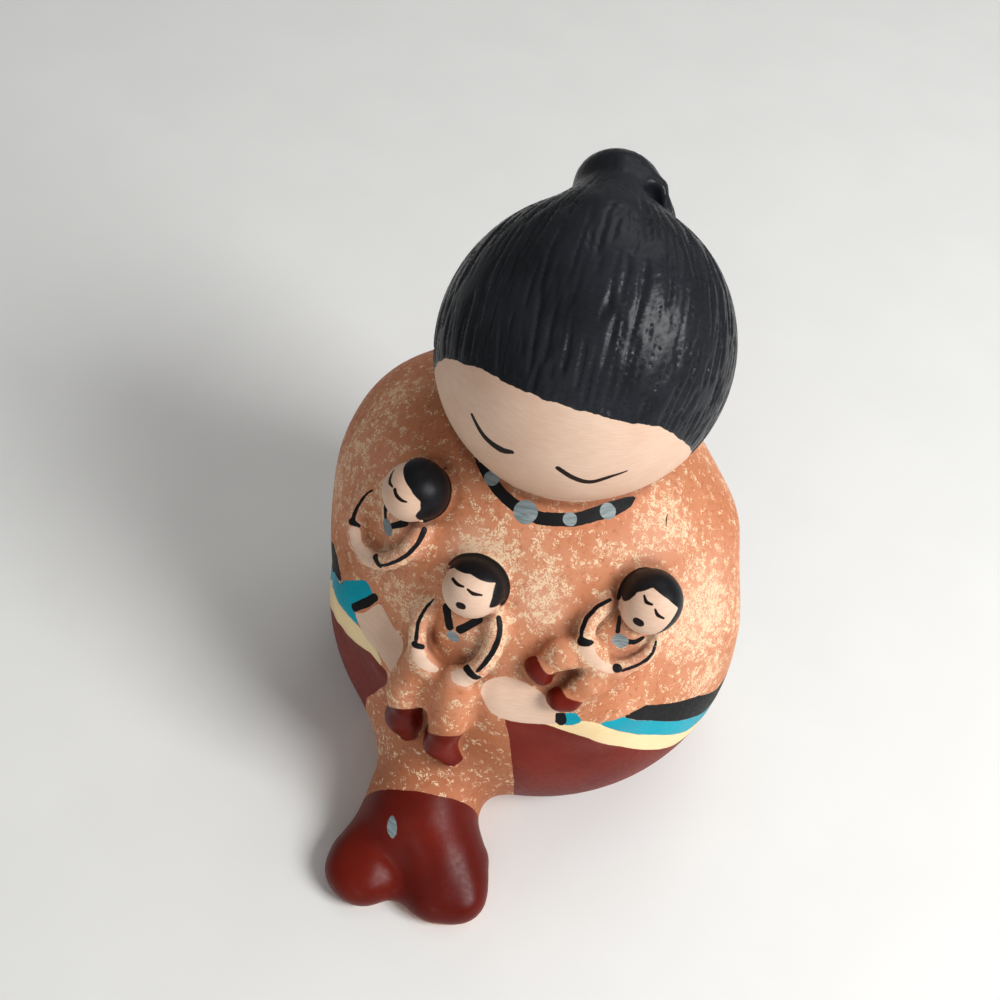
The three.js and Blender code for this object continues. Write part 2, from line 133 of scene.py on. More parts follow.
def rotation(axis: str, degrees: float) -> Array:
    """Turn about one axis.

    Args:
        axis: "x", "y" or "z".
        degrees: angle, anticlockwise seen against the axis.

    Returns:
        The three by three matrix of the turn.
    """
    return np.array(Matrix.Rotation(math.radians(degrees), 3, axis.upper()))


def blended(first: Array, second: Array, width: float) -> Array:
    """Join two distances with a soft fillet.

    Args:
        first: distances to one form.
        second: distances to the other form.
        width: how wide the fillet is, in millimetres.

    Returns:
        Distances to the joined form.
    """
    overlap = np.maximum(width - np.abs(first - second), 0) / width
    return np.minimum(first, second) - overlap * overlap * width / 4


def beside(points: Array, start: Array, end: Array) -> tuple[Array, Array]:
    """Measure points against a straight run.

    Args:
        points: rows of coordinates.
        start: where the run starts.
        end: where it ends.

    Returns:
        How far along the run each point lies, from 0 to 1, and how far off it.
    """
    run = end - start
    offset = points - start
    share = np.clip(offset @ run / max(run @ run, TINY), 0, 1)
    return share, length(offset - share[:, None] * run)


def degrees_round(points: Array) -> Array:
    """Degrees by which each point lies round an upright axis, from the front to the left."""
    return np.degrees(np.arctan2(points[:, 0], -points[:, 1]))


def read_off(line: tuple[Pair, ...], places: Array) -> Array:
    """Read the second coordinate of a broken line off where the first one has these values."""
    return np.interp(places, *np.array(line).T)


class Form:
    """A body of clay that knows its signed distance, negative inside."""

    def distance(self, points: Array) -> Array:
        """Signed distance of each point.

        Args:
            points: rows of x, y and z in millimetres.

        Returns:
            One distance a point.
        """
        raise NotImplementedError

    def slope(self, points: Array) -> Array:
        """Direction in which the distance grows at each point, as long as it grows there."""
        step = 0.05
        out = np.zeros_like(points)
        for way in FEELERS:
            out += self.distance(points + step * way)[:, None] * way / (len(FEELERS) * step)
        return out

    def settle(self, points: Array, rounds: int = 2) -> Array:
        """Points moved along the slope on to the form."""
        least_slope, longest_pull = 0.3, 3
        for _ in range(rounds):
            slope = self.slope(points)
            pull = self.distance(points) / np.maximum((slope * slope).sum(1), least_slope)
            points = points - np.clip(pull, -longest_pull, longest_pull)[:, None] * slope
        return points


@dataclass(frozen=True)
class Lump(Form):
    """A rounded lump of clay, by its middle and its full width, depth and height."""

    centre: Triple
    size: Triple

    def distance(self, points: Array) -> Array:
        """Signed distance of each point."""
        offset = points - np.array(self.centre)
        radii = np.array(self.size) / 2
        reach = length(offset / radii)
        slope = length(offset / radii**2)
        return reach * (reach - 1) / np.maximum(slope, TINY)


@dataclass(frozen=True)
class Limb(Form):
    """A round bar that tapers from one end's thickness to the other's."""

    start: Triple
    end: Triple
    start_thickness: float
    end_thickness: float

    def distance(self, points: Array) -> Array:
        """Signed distance of each point."""
        share, off = beside(points, np.array(self.start), np.array(self.end))
        thickness = self.start_thickness + (self.end_thickness - self.start_thickness) * share
        return off - thickness / 2


@dataclass(frozen=True)
class Joined(Form):
    """Lumps joined in order with a fillet as wide as the blend."""

    blend: float
    forms: tuple[Form, ...]

    def distance(self, points: Array) -> Array:
        """Signed distance of each point."""
        near = self.forms[0].distance(points)
        for form in self.forms[1:]:
            near = blended(near, form.distance(points), self.blend)
        return near


@dataclass(frozen=True)
class Pressed(Form):
    """A lump with a hollow of the tool's form pressed into it."""

    blend: float
    form: Form
    tool: Form

    def distance(self, points: Array) -> Array:
        """Signed distance of each point."""
        return -blended(-self.form.distance(points), self.tool.distance(points), self.blend)


@dataclass(frozen=True)
class Ground(Form):
    """Everything below the table that the figure stands on."""

    def distance(self, points: Array) -> Array:
        """Height of each point over the table."""
        return points[:, 2].copy()


@dataclass(frozen=True)
class Backed(Form):
    """A form drawn out backwards from a plane, so that relief stands on the body without a gap."""

    form: Form
    plane: float
    depth: float

    def distance(self, points: Array) -> Array:
        """Signed distance of each point."""
        local = points.copy()
        local[:, 1] -= np.clip(points[:, 1] - self.plane, 0, self.depth)
        return self.form.distance(local)


@dataclass(frozen=True)
class Pose:
    """Where a small form stands: its spot, its turn and its scale."""

    at: Array
    turn: Array
    scale: float = 1.0

    def inward(self, points: Array) -> Array:
        """Points of the figure in the small form's own frame."""
        return (points - self.at) @ self.turn / self.scale

    def outward(self, points: Array) -> Array:
        """Points of the small form's own frame in the figure."""
        return self.at + self.scale * np.asarray(points, float) @ self.turn.T


@dataclass(frozen=True)
class Placed(Form):
    """A form moved into its pose."""

    form: Form
    pose: Pose

    def distance(self, points: Array) -> Array:
        """Signed distance of each point."""
        return self.form.distance(self.pose.inward(points)) * self.pose.scale


@dataclass(frozen=True)
class Within(Form):
    """A form that answers beyond its reach with the distance to a ball round it."""

    form: Form
    centre: Array
    reach: float
    margin: float = 5

    def distance(self, points: Array) -> Array:
        """Signed distance of each point."""
        away = length(points - self.centre) - self.reach
        near = away < self.margin
        away[near] = self.form.distance(points[near])
        return away


@dataclass(frozen=True)
class Beyond(Form):
    """The part of a form that lies beyond a flat cut."""

    form: Form
    start: Triple
    way: Triple

    def distance(self, points: Array) -> Array:
        """Signed distance of each point."""
        before = (np.array(self.start) - points) @ np.array(self.way)
        return np.maximum(self.form.distance(points), before)


@dataclass(frozen=True)
class Window(Form):
    """A straight-sided opening seen from the front, by its corners as across and up."""

    corners: tuple[Pair, ...]
    back: float

    def distance(self, points: Array) -> Array:
        """Signed distance of each point, the back of the window taken as a wall."""
        flat = outline_distance(points[:, [0, 2]], np.array(self.corners))
        return np.maximum(flat, points[:, 1] - self.back)


def outline_distance(points: Array, corners: Array) -> Array:
    """Signed distance to a closed outline on a plane.

    Args:
        points: rows of two coordinates.
        corners: corners of the outline in order.

    Returns:
        One distance a point, negative inside.
    """
    off = np.full(len(points), np.inf)
    inside = np.zeros(len(points), bool)
    for start, end in zip(corners, np.roll(corners, -1, axis=0)):
        off = np.minimum(off, beside(points, start, end)[1])
        run, rise = end - start
        crosses = (start[1] > points[:, 1]) != (end[1] > points[:, 1])
        meets = start[0] + run * (points[:, 1] - start[1]) / (rise or TINY)
        inside ^= crosses & (points[:, 0] < meets)
    return np.where(inside, -off, off)


def smooth_line(knots: Array, pieces: int) -> Array:
    """Draw a soft curve through knots.

    Args:
        knots: rows of coordinates, at least two.
        pieces: how many short runs each stretch between knots gets.

    Returns:
        Points of the curve, ends included.
    """
    ends = np.vstack([2 * knots[0] - knots[1], knots, 2 * knots[-1] - knots[-2]])
    drawn = []
    for before, start, end, after in zip(ends, ends[1:], ends[2:], ends[3:]):
        for share in np.arange(pieces) / pieces:
            bend = 2 * start + share * (end - before)
            bend = bend + share**2 * (2 * before - 5 * start + 4 * end - after)
            bend = bend + share**3 * (3 * start - before - 3 * end + after)
            drawn.append(bend / 2)
    return np.array([*drawn, knots[-1]])


def chain(spots: Sequence[Sequence[float]], thicknesses: Sequence[float]) -> tuple[Limb, ...]:
    """Lay round bars from spot to spot.

    Args:
        spots: ends of the bars in order.
        thicknesses: thickness at each spot.

    Returns:
        One bar between each two neighbours.
    """
    return tuple(
        Limb(tuple(start), tuple(end), *thicknesses[index : index + 2])
        for index, (start, end) in enumerate(zip(spots, spots[1:]))
    )


def nearest(forms: Iterable[Form], points: Array) -> Array:
    """Distance of each point to the nearest of some forms, as far as it matters."""
    off = np.full(len(points), FAR)
    for form in forms:
        off = np.minimum(off, form.distance(points))
    return off


@dataclass(frozen=True)
class Singer:
    """The seated singer: a wide egg with sloping shoulders, a round head, legs and arms.

    The reaches of hips, knees and ankles are shares of the legs' reach. The spots of the arms are
    shares of the body's half width and half depth, and heights. The crown, the knot and the start
    of the tail are placed from the middle of the skull, all other parts of the hair from the knot.
    """

    body_width: float = 101
    body_depth: float = 94
    body_top: float = 80
    body_back: float = 0.5
    belly_height: float = 30
    shoulder_size: Triple = (90, 77, 66)
    shoulder_top: float = 95
    shoulder_lean: Pair = (-7, 6.5)
    shoulder_blend: float = 14
    head_size: Triple = (58.8, 60.8, 54.8)
    head_sink: float = 13.7
    head_lean: Pair = (-2.6, 7.7)
    crown_size: Triple = (50.8, 45.2, 58)
    crown_offset: Triple = (2, 3.3, 5.1)
    crown_blend: float = 12
    knot_size: Triple = (18.4, 13, 17.2)
    knot_offset: Triple = (-1.7, 25.9, 23.3)
    knot_blend: float = 2.5
    coil_size: Triple = (10.2, 11.6, 13.6)
    coil_offset: Triple = (8, -1.2, -5.5)
    curl: tuple[Triple, ...] = (
        (5.4, -2, 5.2), (7.8, -2.4, 4.4), (9.4, -4.6, 2.2), (9.2, -6.8, 0.2), (7.2, -8, 0),
    )
    curl_thickness: float = 3.8
    curl_blend: float = 1
    dimple_size: Triple = (4.2, 4.6, 4.4)
    dimple_offset: Triple = (7.2, -6, 4.8)
    dimple_blend: float = 1.8
    tail_start: Triple = (-1, 11, 24.5)
    tail_end: Triple = (0, -2.5, 1.2)
    tail_thickness: float = 15
    tail_taper: float = 0.93
    tail_blend: float = 6
    legs_across: float = -12
    leg_reach: float = 68
    hip_reaches: Pair = (0.32, 0.4)
    hip_heights: Pair = (24, 9)
    thigh_thickness: float = 34
    calf_share: float = 0.76
    knee_reach: float = 0.79
    knee_heights: Pair = (10.5, 7)
    shin_thickness: float = 18
    shin_blend: float = 7
    ankle_reach: float = 0.76
    ankles_across: Pair = (-3.6, 2.6)
    ankle_heights: Pair = (8.5, 8)
    ankle_thicknesses: Pair = (10.4, 19)
    ankle_blend: float = 5
    toe_thickness: float = 8.6
    toe_lift: float = 0.42
    toe_blend: float = 4
    right_toes: tuple[Pair, ...] = ((-23.4, -65.2), (-23.8, -69.4), (-20.8, -71.8), (-17.4, -71.4))
    left_toes: tuple[Pair, ...] = (
        (3.4, -58), (4.7, -63.5), (5.4, -67.6), (2.6, -69.6), (-1.8, -69.9), (-3, -69.6),
    )
    web: tuple[Triple, Triple] = ((-18, -69.8, 3), (-6, -68.8, 3))
    web_thickness: float = 6
    foot_blend: float = 4.5
    leg_blend: float = 9
    right_arm: tuple[Triple, ...] = (
        (-0.65, 0.26, 69.5), (-0.69, -0.15, 51), (-0.68, -0.51, 48.5), (-0.475, -0.755, 46),
    )
    left_arm: tuple[Triple, ...] = (
        (0.555, 0.15, 64), (0.695, -0.1, 48), (0.4, -0.68, 48.5), (0, -0.82, 50),
    )
    arm_thicknesses: tuple[float, ...] = (25, 19, 13, 10.4)
    arm_blend: float = 7
    child_blend: float = 2.5
    neck_blend: float = 1.6
    rim_blend: float = 1.0

    def body(self) -> Form:
        """The egg of the body with the shoulders laid over it."""
        egg = Lump(
            (0, self.body_back, self.belly_height),
            (self.body_width, self.body_depth, 2 * (self.body_top - self.belly_height)),
        )
        shoulder_middle = self.shoulder_top - self.shoulder_size[2] / 2
        shoulders = Lump((*self.shoulder_lean, shoulder_middle), self.shoulder_size)
        return Joined(self.shoulder_blend, (egg, shoulders))

    def foot(self, ankle: Triple, ankle_thickness: float, toes: tuple[Pair, ...]) -> Form:
        """A moccasin that fans out from the ankle and falls to a low round rim.

        Args:
            ankle: where it starts.
            ankle_thickness: how thick it is there.
            toes: places along the rim, seen from above.

        Returns:
            The moccasin's form.
        """
        thick = self.toe_thickness
        bars = [Limb(ankle, (*toe, self.toe_lift * thick), ankle_thickness, thick) for toe in toes]
        return Joined(self.toe_blend, tuple(bars))

    def legs(self) -> Form:
        """Legs held together, ending in two moccasins with a soft valley between them."""
        across = self.legs_across
        knee = -self.knee_reach * self.leg_reach
        ankle = -self.ankle_reach * self.leg_reach
        halves = zip(self.hip_reaches, self.hip_heights, self.knee_heights, (1, self.calf_share))
        shins = tuple(
            Limb(
                (across, -hip * self.leg_reach, hip_height),
                (across, knee, knee_height),
                share * self.thigh_thickness,
                self.shin_thickness,
            )
            for hip, hip_height, knee_height, share in halves
        )
        toes = (self.right_toes, self.left_toes)
        sides = zip(self.ankles_across, self.ankle_heights, self.ankle_thicknesses, toes)
        feet = [
            self.foot((across + offset, ankle, height), thickness, rim)
            for offset, height, thickness, rim in sides
        ]
        feet.append(Limb(*self.web, self.web_thickness, self.web_thickness))
        parts = (Joined(self.shin_blend, shins), Joined(self.foot_blend, tuple(feet)))
        return Joined(self.ankle_blend, parts)

    def arm(self, spots: tuple[Triple, ...]) -> Form:
        """One arm in low relief, wrapped forward round the children.

        Args:
            spots: shoulder, elbow, wrist and hand.

        Returns:
            The arm's form.
        """
        wide, deep = self.body_width / 2, self.body_depth / 2
        places = [(across * wide, back * deep, height) for across, back, height in spots]
        return Joined(self.arm_blend, chain(places, self.arm_thicknesses))

    def bare(self) -> Form:
        """Body, legs and arms, on which the children sit."""
        trunk = Joined(self.leg_blend, (self.body(), self.legs()))
        return Joined(self.arm_blend, (trunk, self.arm(self.right_arm), self.arm(self.left_arm)))

    def head_middle(self) -> Array:
        """Middle of the skull."""
        height = self.shoulder_top - self.head_sink + self.head_size[2] / 2
        return np.array((*self.head_lean, height))

    def knot_spot(self) -> Array:
        """Middle of the knot of hair."""
        return self.head_middle() + self.knot_offset

    def head(self) -> Form:
        """The skull, the fuller crown of the hair and the knot coiled at the back."""
        middle = self.head_middle()
        knot_spot = self.knot_spot()
        skull = Lump(tuple(middle), self.head_size)
        crown = Lump(tuple(middle + self.crown_offset), self.crown_size)
        tail = Limb(
            tuple(middle + self.tail_start),
            tuple(knot_spot + self.tail_end),
            self.tail_thickness,
            self.tail_taper * self.tail_thickness,
        )
        combed = Joined(self.tail_blend, (Joined(self.crown_blend, (skull, crown)), tail))
        knot = Lump(tuple(knot_spot), self.knot_size)
        coil = Lump(tuple(knot_spot + self.coil_offset), self.coil_size)
        curl = chain(knot_spot + np.array(self.curl), [self.curl_thickness] * len(self.curl))
        bun = Joined(self.knot_blend, (knot, coil, Joined(self.curl_blend, curl)))
        dimple = Lump(tuple(knot_spot + self.dimple_offset), self.dimple_size)
        return Pressed(self.dimple_blend, Joined(self.knot_blend, (combed, bun)), dimple)


@dataclass(frozen=True)
class Spot:
    """A place on the front, as shares of the body's half width and of its height, and its lift."""

    across: float
    height: float
    lift: float

    def on(self, form: Form, singer: Singer) -> Triple:
        """Find the place by going straight back from the front.

        Args:
            form: what the place is on.
            singer: whose body gives the shares their size.

        Returns:
            The point, lifted off the form.
        """
        steps, share = 80, 0.8
        start = (
            self.across * singer.body_width / 2,
            -2 * singer.body_depth,
            self.height * singer.body_top,
        )
        point = np.array([start])
        for _ in range(steps):
            point[:, 1] += share * form.distance(point)
        slope = form.slope(point)
        return tuple((point + self.lift * slope / length(slope)[:, None])[0])


@dataclass(frozen=True)
class Leg:
    """A child's leg by the spots of its hip, its knee and the heel and toe of its shoe."""

    spots: tuple[Triple, ...]
    thicknesses: tuple[float, ...]
    covered: float = 0.5
    cut_way: Triple | None = None
    blend: float = 2.5

    def form(self, bare: Form, singer: Singer) -> tuple[Form, Form]:
        """Lay the leg on the singer.

        Args:
            bare: the singer's form.
            singer: the singer's sizes.

        Returns:
            The leg, and the part of it that the shoe covers.
        """
        places = [Spot(*spot).on(bare, singer) for spot in self.spots]
        thigh, shin, foot = chain(places, self.thicknesses)
        heel, toe = places[2:]
        covering: Form = foot
        way = np.array(toe) - heel
        if self.cut_way is not None:
            covering = Joined(self.blend, (shin, foot))
            way = np.array(self.cut_way)
        way = way / np.linalg.norm(way)
        cut = heel - self.covered * self.thicknesses[2] * way
        return Joined(self.blend, (thigh, shin, foot)), Beyond(covering, tuple(cut), tuple(way))


@dataclass(frozen=True)
class Arm:
    """A child's arm in the chest's frame: spots from shoulder to hand as across and up."""

    spots: tuple[Pair, ...]
    thicknesses: Pair
    depths: tuple[float, ...] = (0.5, -1.5, -2.6, -3, -3)
    blend: float = 0.5

    def form(self) -> Form:
        """The arm as a soft bent bar that comes forward to the hand."""
        spots = [(across, depth, up) for (across, up), depth in zip(self.spots, self.depths)]
        line = smooth_line(np.array(spots, float), pieces=2)
        return Joined(self.blend, chain(line, np.linspace(*self.thicknesses, len(line))))


@dataclass(frozen=True)
class Child:
    """One child in relief: where it sits, how it turns and how it holds its arms and legs."""

    name: str
    seat: Spot
    size: float
    turn: float
    lean: float
    roll: float
    head_spot: Triple
    head_roll: float
    arms: tuple[Arm, Arm]
    window: tuple[Pair, ...]
    hollow: Triple
    hollow_size: Triple = (10, 9, 11)
    hollow_blend: float = 2.5
    legs: tuple[Leg, ...] = ()
    leg_blend: float = 2.2
    web: tuple[Triple, ...] = ()
    web_thickness: float = 6
    head_width: float = 12.4
    head_height: float = 12.8
    head_drop: float = 0
    head_plane: float = 1
    head_backing: float = 0.8
    face_flatness: float = 0.6
    hair: float = 0.5
    hair_blend: float = 0.5
    cap_back: float = 1.2
    cap_lift: float = 1.2
    cap_spare: float = 0.4
    window_back: float = 2.5
    face_blend: float = 0.6
    neck_blend: float = 0.9
    chest: Triple = (17.4, 8.6, 19.5)
    chest_back: float = 2
    chest_plane: float = -0.5
    arm_blend: float = 1.2
    backing: float = 7
    reach: float = 36

    def chest_form(self) -> Form:
        """The chest with a hollow pressed into its lap, and the arms round it."""
        chest = Lump((0, self.chest_back, 0), self.chest)
        hollowed = Pressed(self.hollow_blend, chest, Lump(self.hollow, self.hollow_size))
        whole = Joined(self.arm_blend, (hollowed, *(arm.form() for arm in self.arms)))
        return Backed(whole, self.chest_plane, self.backing)

    def opening(self) -> Window:
        """What the hair leaves free of the face."""
        return Window(self.window, self.window_back)

    def head_form(self) -> Form:
        """The face, and a cap of hair that stands a little proud of it."""
        width, height, drop = self.head_width, self.head_height, self.head_drop
        face = Lump((0, 0, -drop), (width, width - self.face_flatness, height))
        cap = Lump(
            (0, self.cap_back, self.cap_lift * self.hair - drop),
            (width + 2 * self.hair, width + self.cap_spare, height + self.cap_spare),
        )
        hair = Pressed(self.hair_blend, cap, self.opening())
        return Backed(Joined(self.face_blend, (face, hair)), self.head_plane, self.head_backing)

    def pose(self, singer: Singer, bare: Form) -> Pose:
        """Pose of the chest."""
        turn = rotation("z", self.turn) @ rotation("x", -self.lean) @ rotation("y", self.roll)
        return Pose(np.array(self.seat.on(bare, singer)), turn, self.size)

    def head_pose(self, pose: Pose) -> Pose:
        """Pose of the head, by the chest's pose."""
        at = pose.at + pose.turn @ np.array(self.head_spot)
        return Pose(at, pose.turn @ rotation("y", self.head_roll))


@dataclass(frozen=True)
class SeatedChild:
    """A child placed on the singer, with the forms that its paint goes by."""

    child: Child
    pose: Pose
    head_pose: Pose
    shoes: tuple[Form, ...]
    chest: Form
    head: Form
    body: Form

    @classmethod
    def seated(cls, child: Child, singer: Singer, bare: Form) -> "SeatedChild":
        """Seat a child on the singer.

        Args:
            child: the child's sizes and pose.
            singer: whose lap it sits on.
            bare: the singer's form without children or head.

        Returns:
            The seated child.
        """
        pose = child.pose(singer, bare)
        head_pose = child.head_pose(pose)
        laid = [leg.form(bare, singer) for leg in child.legs]
        web = [Spot(*spot).on(bare, singer) for spot in child.web]
        lower = (*(leg for leg, _ in laid), *chain(web, [child.web_thickness] * len(web)))
        chest = Joined(child.leg_blend, (Placed(child.chest_form(), pose), *lower))
        head = Placed(child.head_form(), head_pose)
        body = Within(Joined(child.neck_blend, (chest, head)), pose.at, child.reach)
        return cls(child, pose, head_pose, tuple(shoe for _, shoe in laid), chest, head, body)


# Square to the tops of the lap child's shoes, towards the toes.
LAP_SHOE_WAY = (0.28, -0.74, -0.61)

CHILDREN = (
    Child(
        name="right",
        seat=Spot(-0.62, 0.94, -0.8),
        size=0.92,
        turn=-42,
        lean=25,
        roll=-16,
        head_spot=(4.95, -2.8, 11.2),
        head_roll=28,
        arms=(
            Arm(((-10.8, 2.9), (-11.5, -1.6), (-10.5, -5.1), (-7.2, -8.6), (-2.3, -9.3)), (4, 3.6)),
            Arm(((8.6, 3.7), (8.5, -1.4), (5.3, -5.9), (1.4, -8.5), (-3, -9.7)), (4.8, 3.6)),
        ),
        window=(
            (-12, 4.2), (-1.5, 4.3), (1.8, 4.3), (4.6, 3.7), (5.6, 2.3),
            (5.8, 0.4), (6.4, -1.2), (12, -4), (12, -12), (-12, -12),
        ),
        hollow=(-3, -5.2, -3.4),
        head_backing=0.2,
    ),
    Child(
        name="lap",
        seat=Spot(-0.2, 0.805, -0.1),
        size=0.87,
        turn=-12,
        lean=28,
        roll=-10,
        head_spot=(1.3, -3.2, 12.5),
        head_roll=10,
        arms=(
            Arm(((-10.5, 4.4), (-11.2, -0.2), (-10.6, -4.6), (-9.5, -8.2), (-6.7, -10.6)), (4.6, 4.4)),
            Arm(((6.4, 8.2), (8.7, 2.5), (7.5, -3.8), (4.7, -7.9), (0.9, -10.7)), (5.4, 4.8)),
        ),
        window=(
            (-12, -1), (-6.4, 1.2), (-4.6, 3.2), (-0.6, 4.4), (4.4, 3.9),
            (5.2, 1.5), (5.4, -0.8), (12, -1.6), (12, -12), (-12, -12),
        ),
        hollow=(-1.5, -5.2, -5),
        hollow_size=(9, 7.6, 10),
        head_height=11.4,
        head_drop=0.6,
        web=((-0.256, 0.67, 1.2), (-0.272, 0.585, 1.2)),
        legs=(
            Leg(
                ((-0.337, 0.676, 1.2), (-0.39, 0.57, 1.3), (-0.373, 0.451, 1.6), (-0.341, 0.397, 1.4)),
                (9, 7.6, 7, 3.6),
                0.27,
                LAP_SHOE_WAY,
            ),
            Leg(
                ((-0.175, 0.665, 1.4), (-0.165, 0.56, 1.6), (-0.192, 0.433, 1.8), (-0.124, 0.382, 1.6)),
                (10.5, 8.6, 5.8, 4),
                0.36,
                LAP_SHOE_WAY,
            ),
        ),
    ),
    Child(
        name="left",
        seat=Spot(0.42, 0.856, 1.4),
        size=0.8,
        turn=22,
        lean=30,
        roll=42,
        head_spot=(-2.05, -3, 9.7),
        head_roll=8,
        arms=(
            Arm(((-9.2, 4.6), (-10.6, -1.7), (-8.2, -5.8), (-4.2, -8.7), (1.7, -8.9)), (4.6, 4.2)),
            Arm(((6.8, 6.0), (8.2, 2.5), (7.3, -2.2), (4.4, -6.6)), (4.4, 4.2)),
        ),
        window=(
            (-12, -7), (-4.9, -3.9), (-5.6, -0.2), (-4.7, 2.9), (-1.4, 3.9), (2.1, 4.3),
            (2.9, 1.6), (3.7, -1.1), (4.1, -3.4), (9, -8), (9, -12), (-12, -12),
        ),
        hollow=(-1.5, -5.2, -2.4),
        head_width=11.9,
        legs=(
            Leg(
                ((0.325, 0.829, 1.6), (0.209, 0.826, 1.8), (0.134, 0.778, 1.8), (0.162, 0.755, 1.8)),
                (7.4, 6, 3.9, 3.6),
            ),
            Leg(
                ((0.414, 0.766, 1.4), (0.347, 0.748, 1.8), (0.257, 0.705, 1.8), (0.303, 0.701, 1.8)),
                (7.4, 6, 3.7, 3.6),
            ),
        ),
    ),
)


@dataclass(frozen=True)
class Figure:
    """The whole figure: the singer with the children on its chest and lap."""

    singer: Singer
    children: tuple[SeatedChild, ...]
    bare: Form
    head: Form
    held: Form
    whole: Form

    @classmethod
    def made(cls, singer: Singer, children: tuple[Child, ...]) -> "Figure":
        """Put the figure together.

        Args:
            singer: the singer's sizes.
            children: the children's sizes and poses.

        Returns:
            The figure, standing flat on the table.
        """
        bare = singer.bare()
        seated = tuple(SeatedChild.seated(child, singer, bare) for child in children)
        head = singer.head()
        held = Joined(singer.child_blend, (bare, *(child.body for child in seated)))
        joined = Joined(singer.neck_blend, (held, head))
        standing = Pressed(singer.rim_blend, joined, Ground())
        return cls(singer, seated, bare, head, held, standing)


@dataclass(frozen=True)
class Stroke:
    """One brush stroke on the clay: its spots, nearly on the surface, and its widths."""

    spots: tuple[Triple, ...]
    widths: tuple[float, ...]

    def laid(self, form: Form, pose: Pose | None = None) -> "Trail":
        """Lay the stroke on the clay.

        Args:
            form: the surface that it is painted on.
            pose: frame of the spots, if they aren't given in the figure's own.

        Returns:
            The stroke as a trail on the surface.
        """
        spots = np.array(self.spots, float)
        if pose is not None:
            spots = pose.outward(spots)
        line = smooth_line(spots, pieces=4) if len(spots) > 1 else spots
        widths = np.interp(
            np.linspace(0, 1, len(line)), np.linspace(0, 1, len(self.widths)), self.widths
        )
        return Trail(form.settle(line, rounds=4), widths)


@dataclass(frozen=True)
class Trail(Form):
    """A painted stroke: everything on the surface that lies within its width of the line."""

    line: Array
    widths: Array
    reach: float = 6

    def distance(self, points: Array) -> Array:
        """Signed distance of each point, or the reach beyond it."""
        low = self.line.min(0) - self.reach - self.widths.max()
        high = self.line.max(0) + self.reach + self.widths.max()
        near = ((points > low) & (points < high)).all(1)
        close = points[near]
        best = length(close - self.line[0]) - self.widths[0] / 2
        for bar in chain(self.line, self.widths):
            best = np.minimum(best, bar.distance(close))
        out = np.full(len(points), self.reach, float)
        out[near] = np.minimum(best, self.reach)
        return out


@dataclass(frozen=True)
class Patch(Form):
    """A painted patch on the singer's body, by its outline as degrees round it and height."""

    corners: tuple[Pair, ...]
    arc: float = 0.76
    reach: float = 60

    def distance(self, points: Array) -> Array:
        """Distance of each point to the patch, with a degree round the body as long as the arc."""
        corners = np.array(self.corners, float)
        line = smooth_line(np.vstack([corners, corners[:1]]), pieces=3)[:-1]
        around = degrees_round(points)
        off = np.full(len(points), FAR)
        near = (np.abs(around - corners[:, 0].mean()) < self.reach) & (points[:, 1] < 0)
        flat = np.stack([around, points[:, 2]], 1)[near]
        off[near] = outline_distance(flat * (self.arc, 1), line * (self.arc, 1))
        return off


@dataclass(frozen=True)
class ChildPaint:
    """Brush strokes of one child; the face in the head's frame, the rest in the chest's."""

    lines: tuple[Stroke, ...]
    black: tuple[Stroke, ...]
    skin: tuple[Stroke, ...]
    silver: tuple[Stroke, ...]


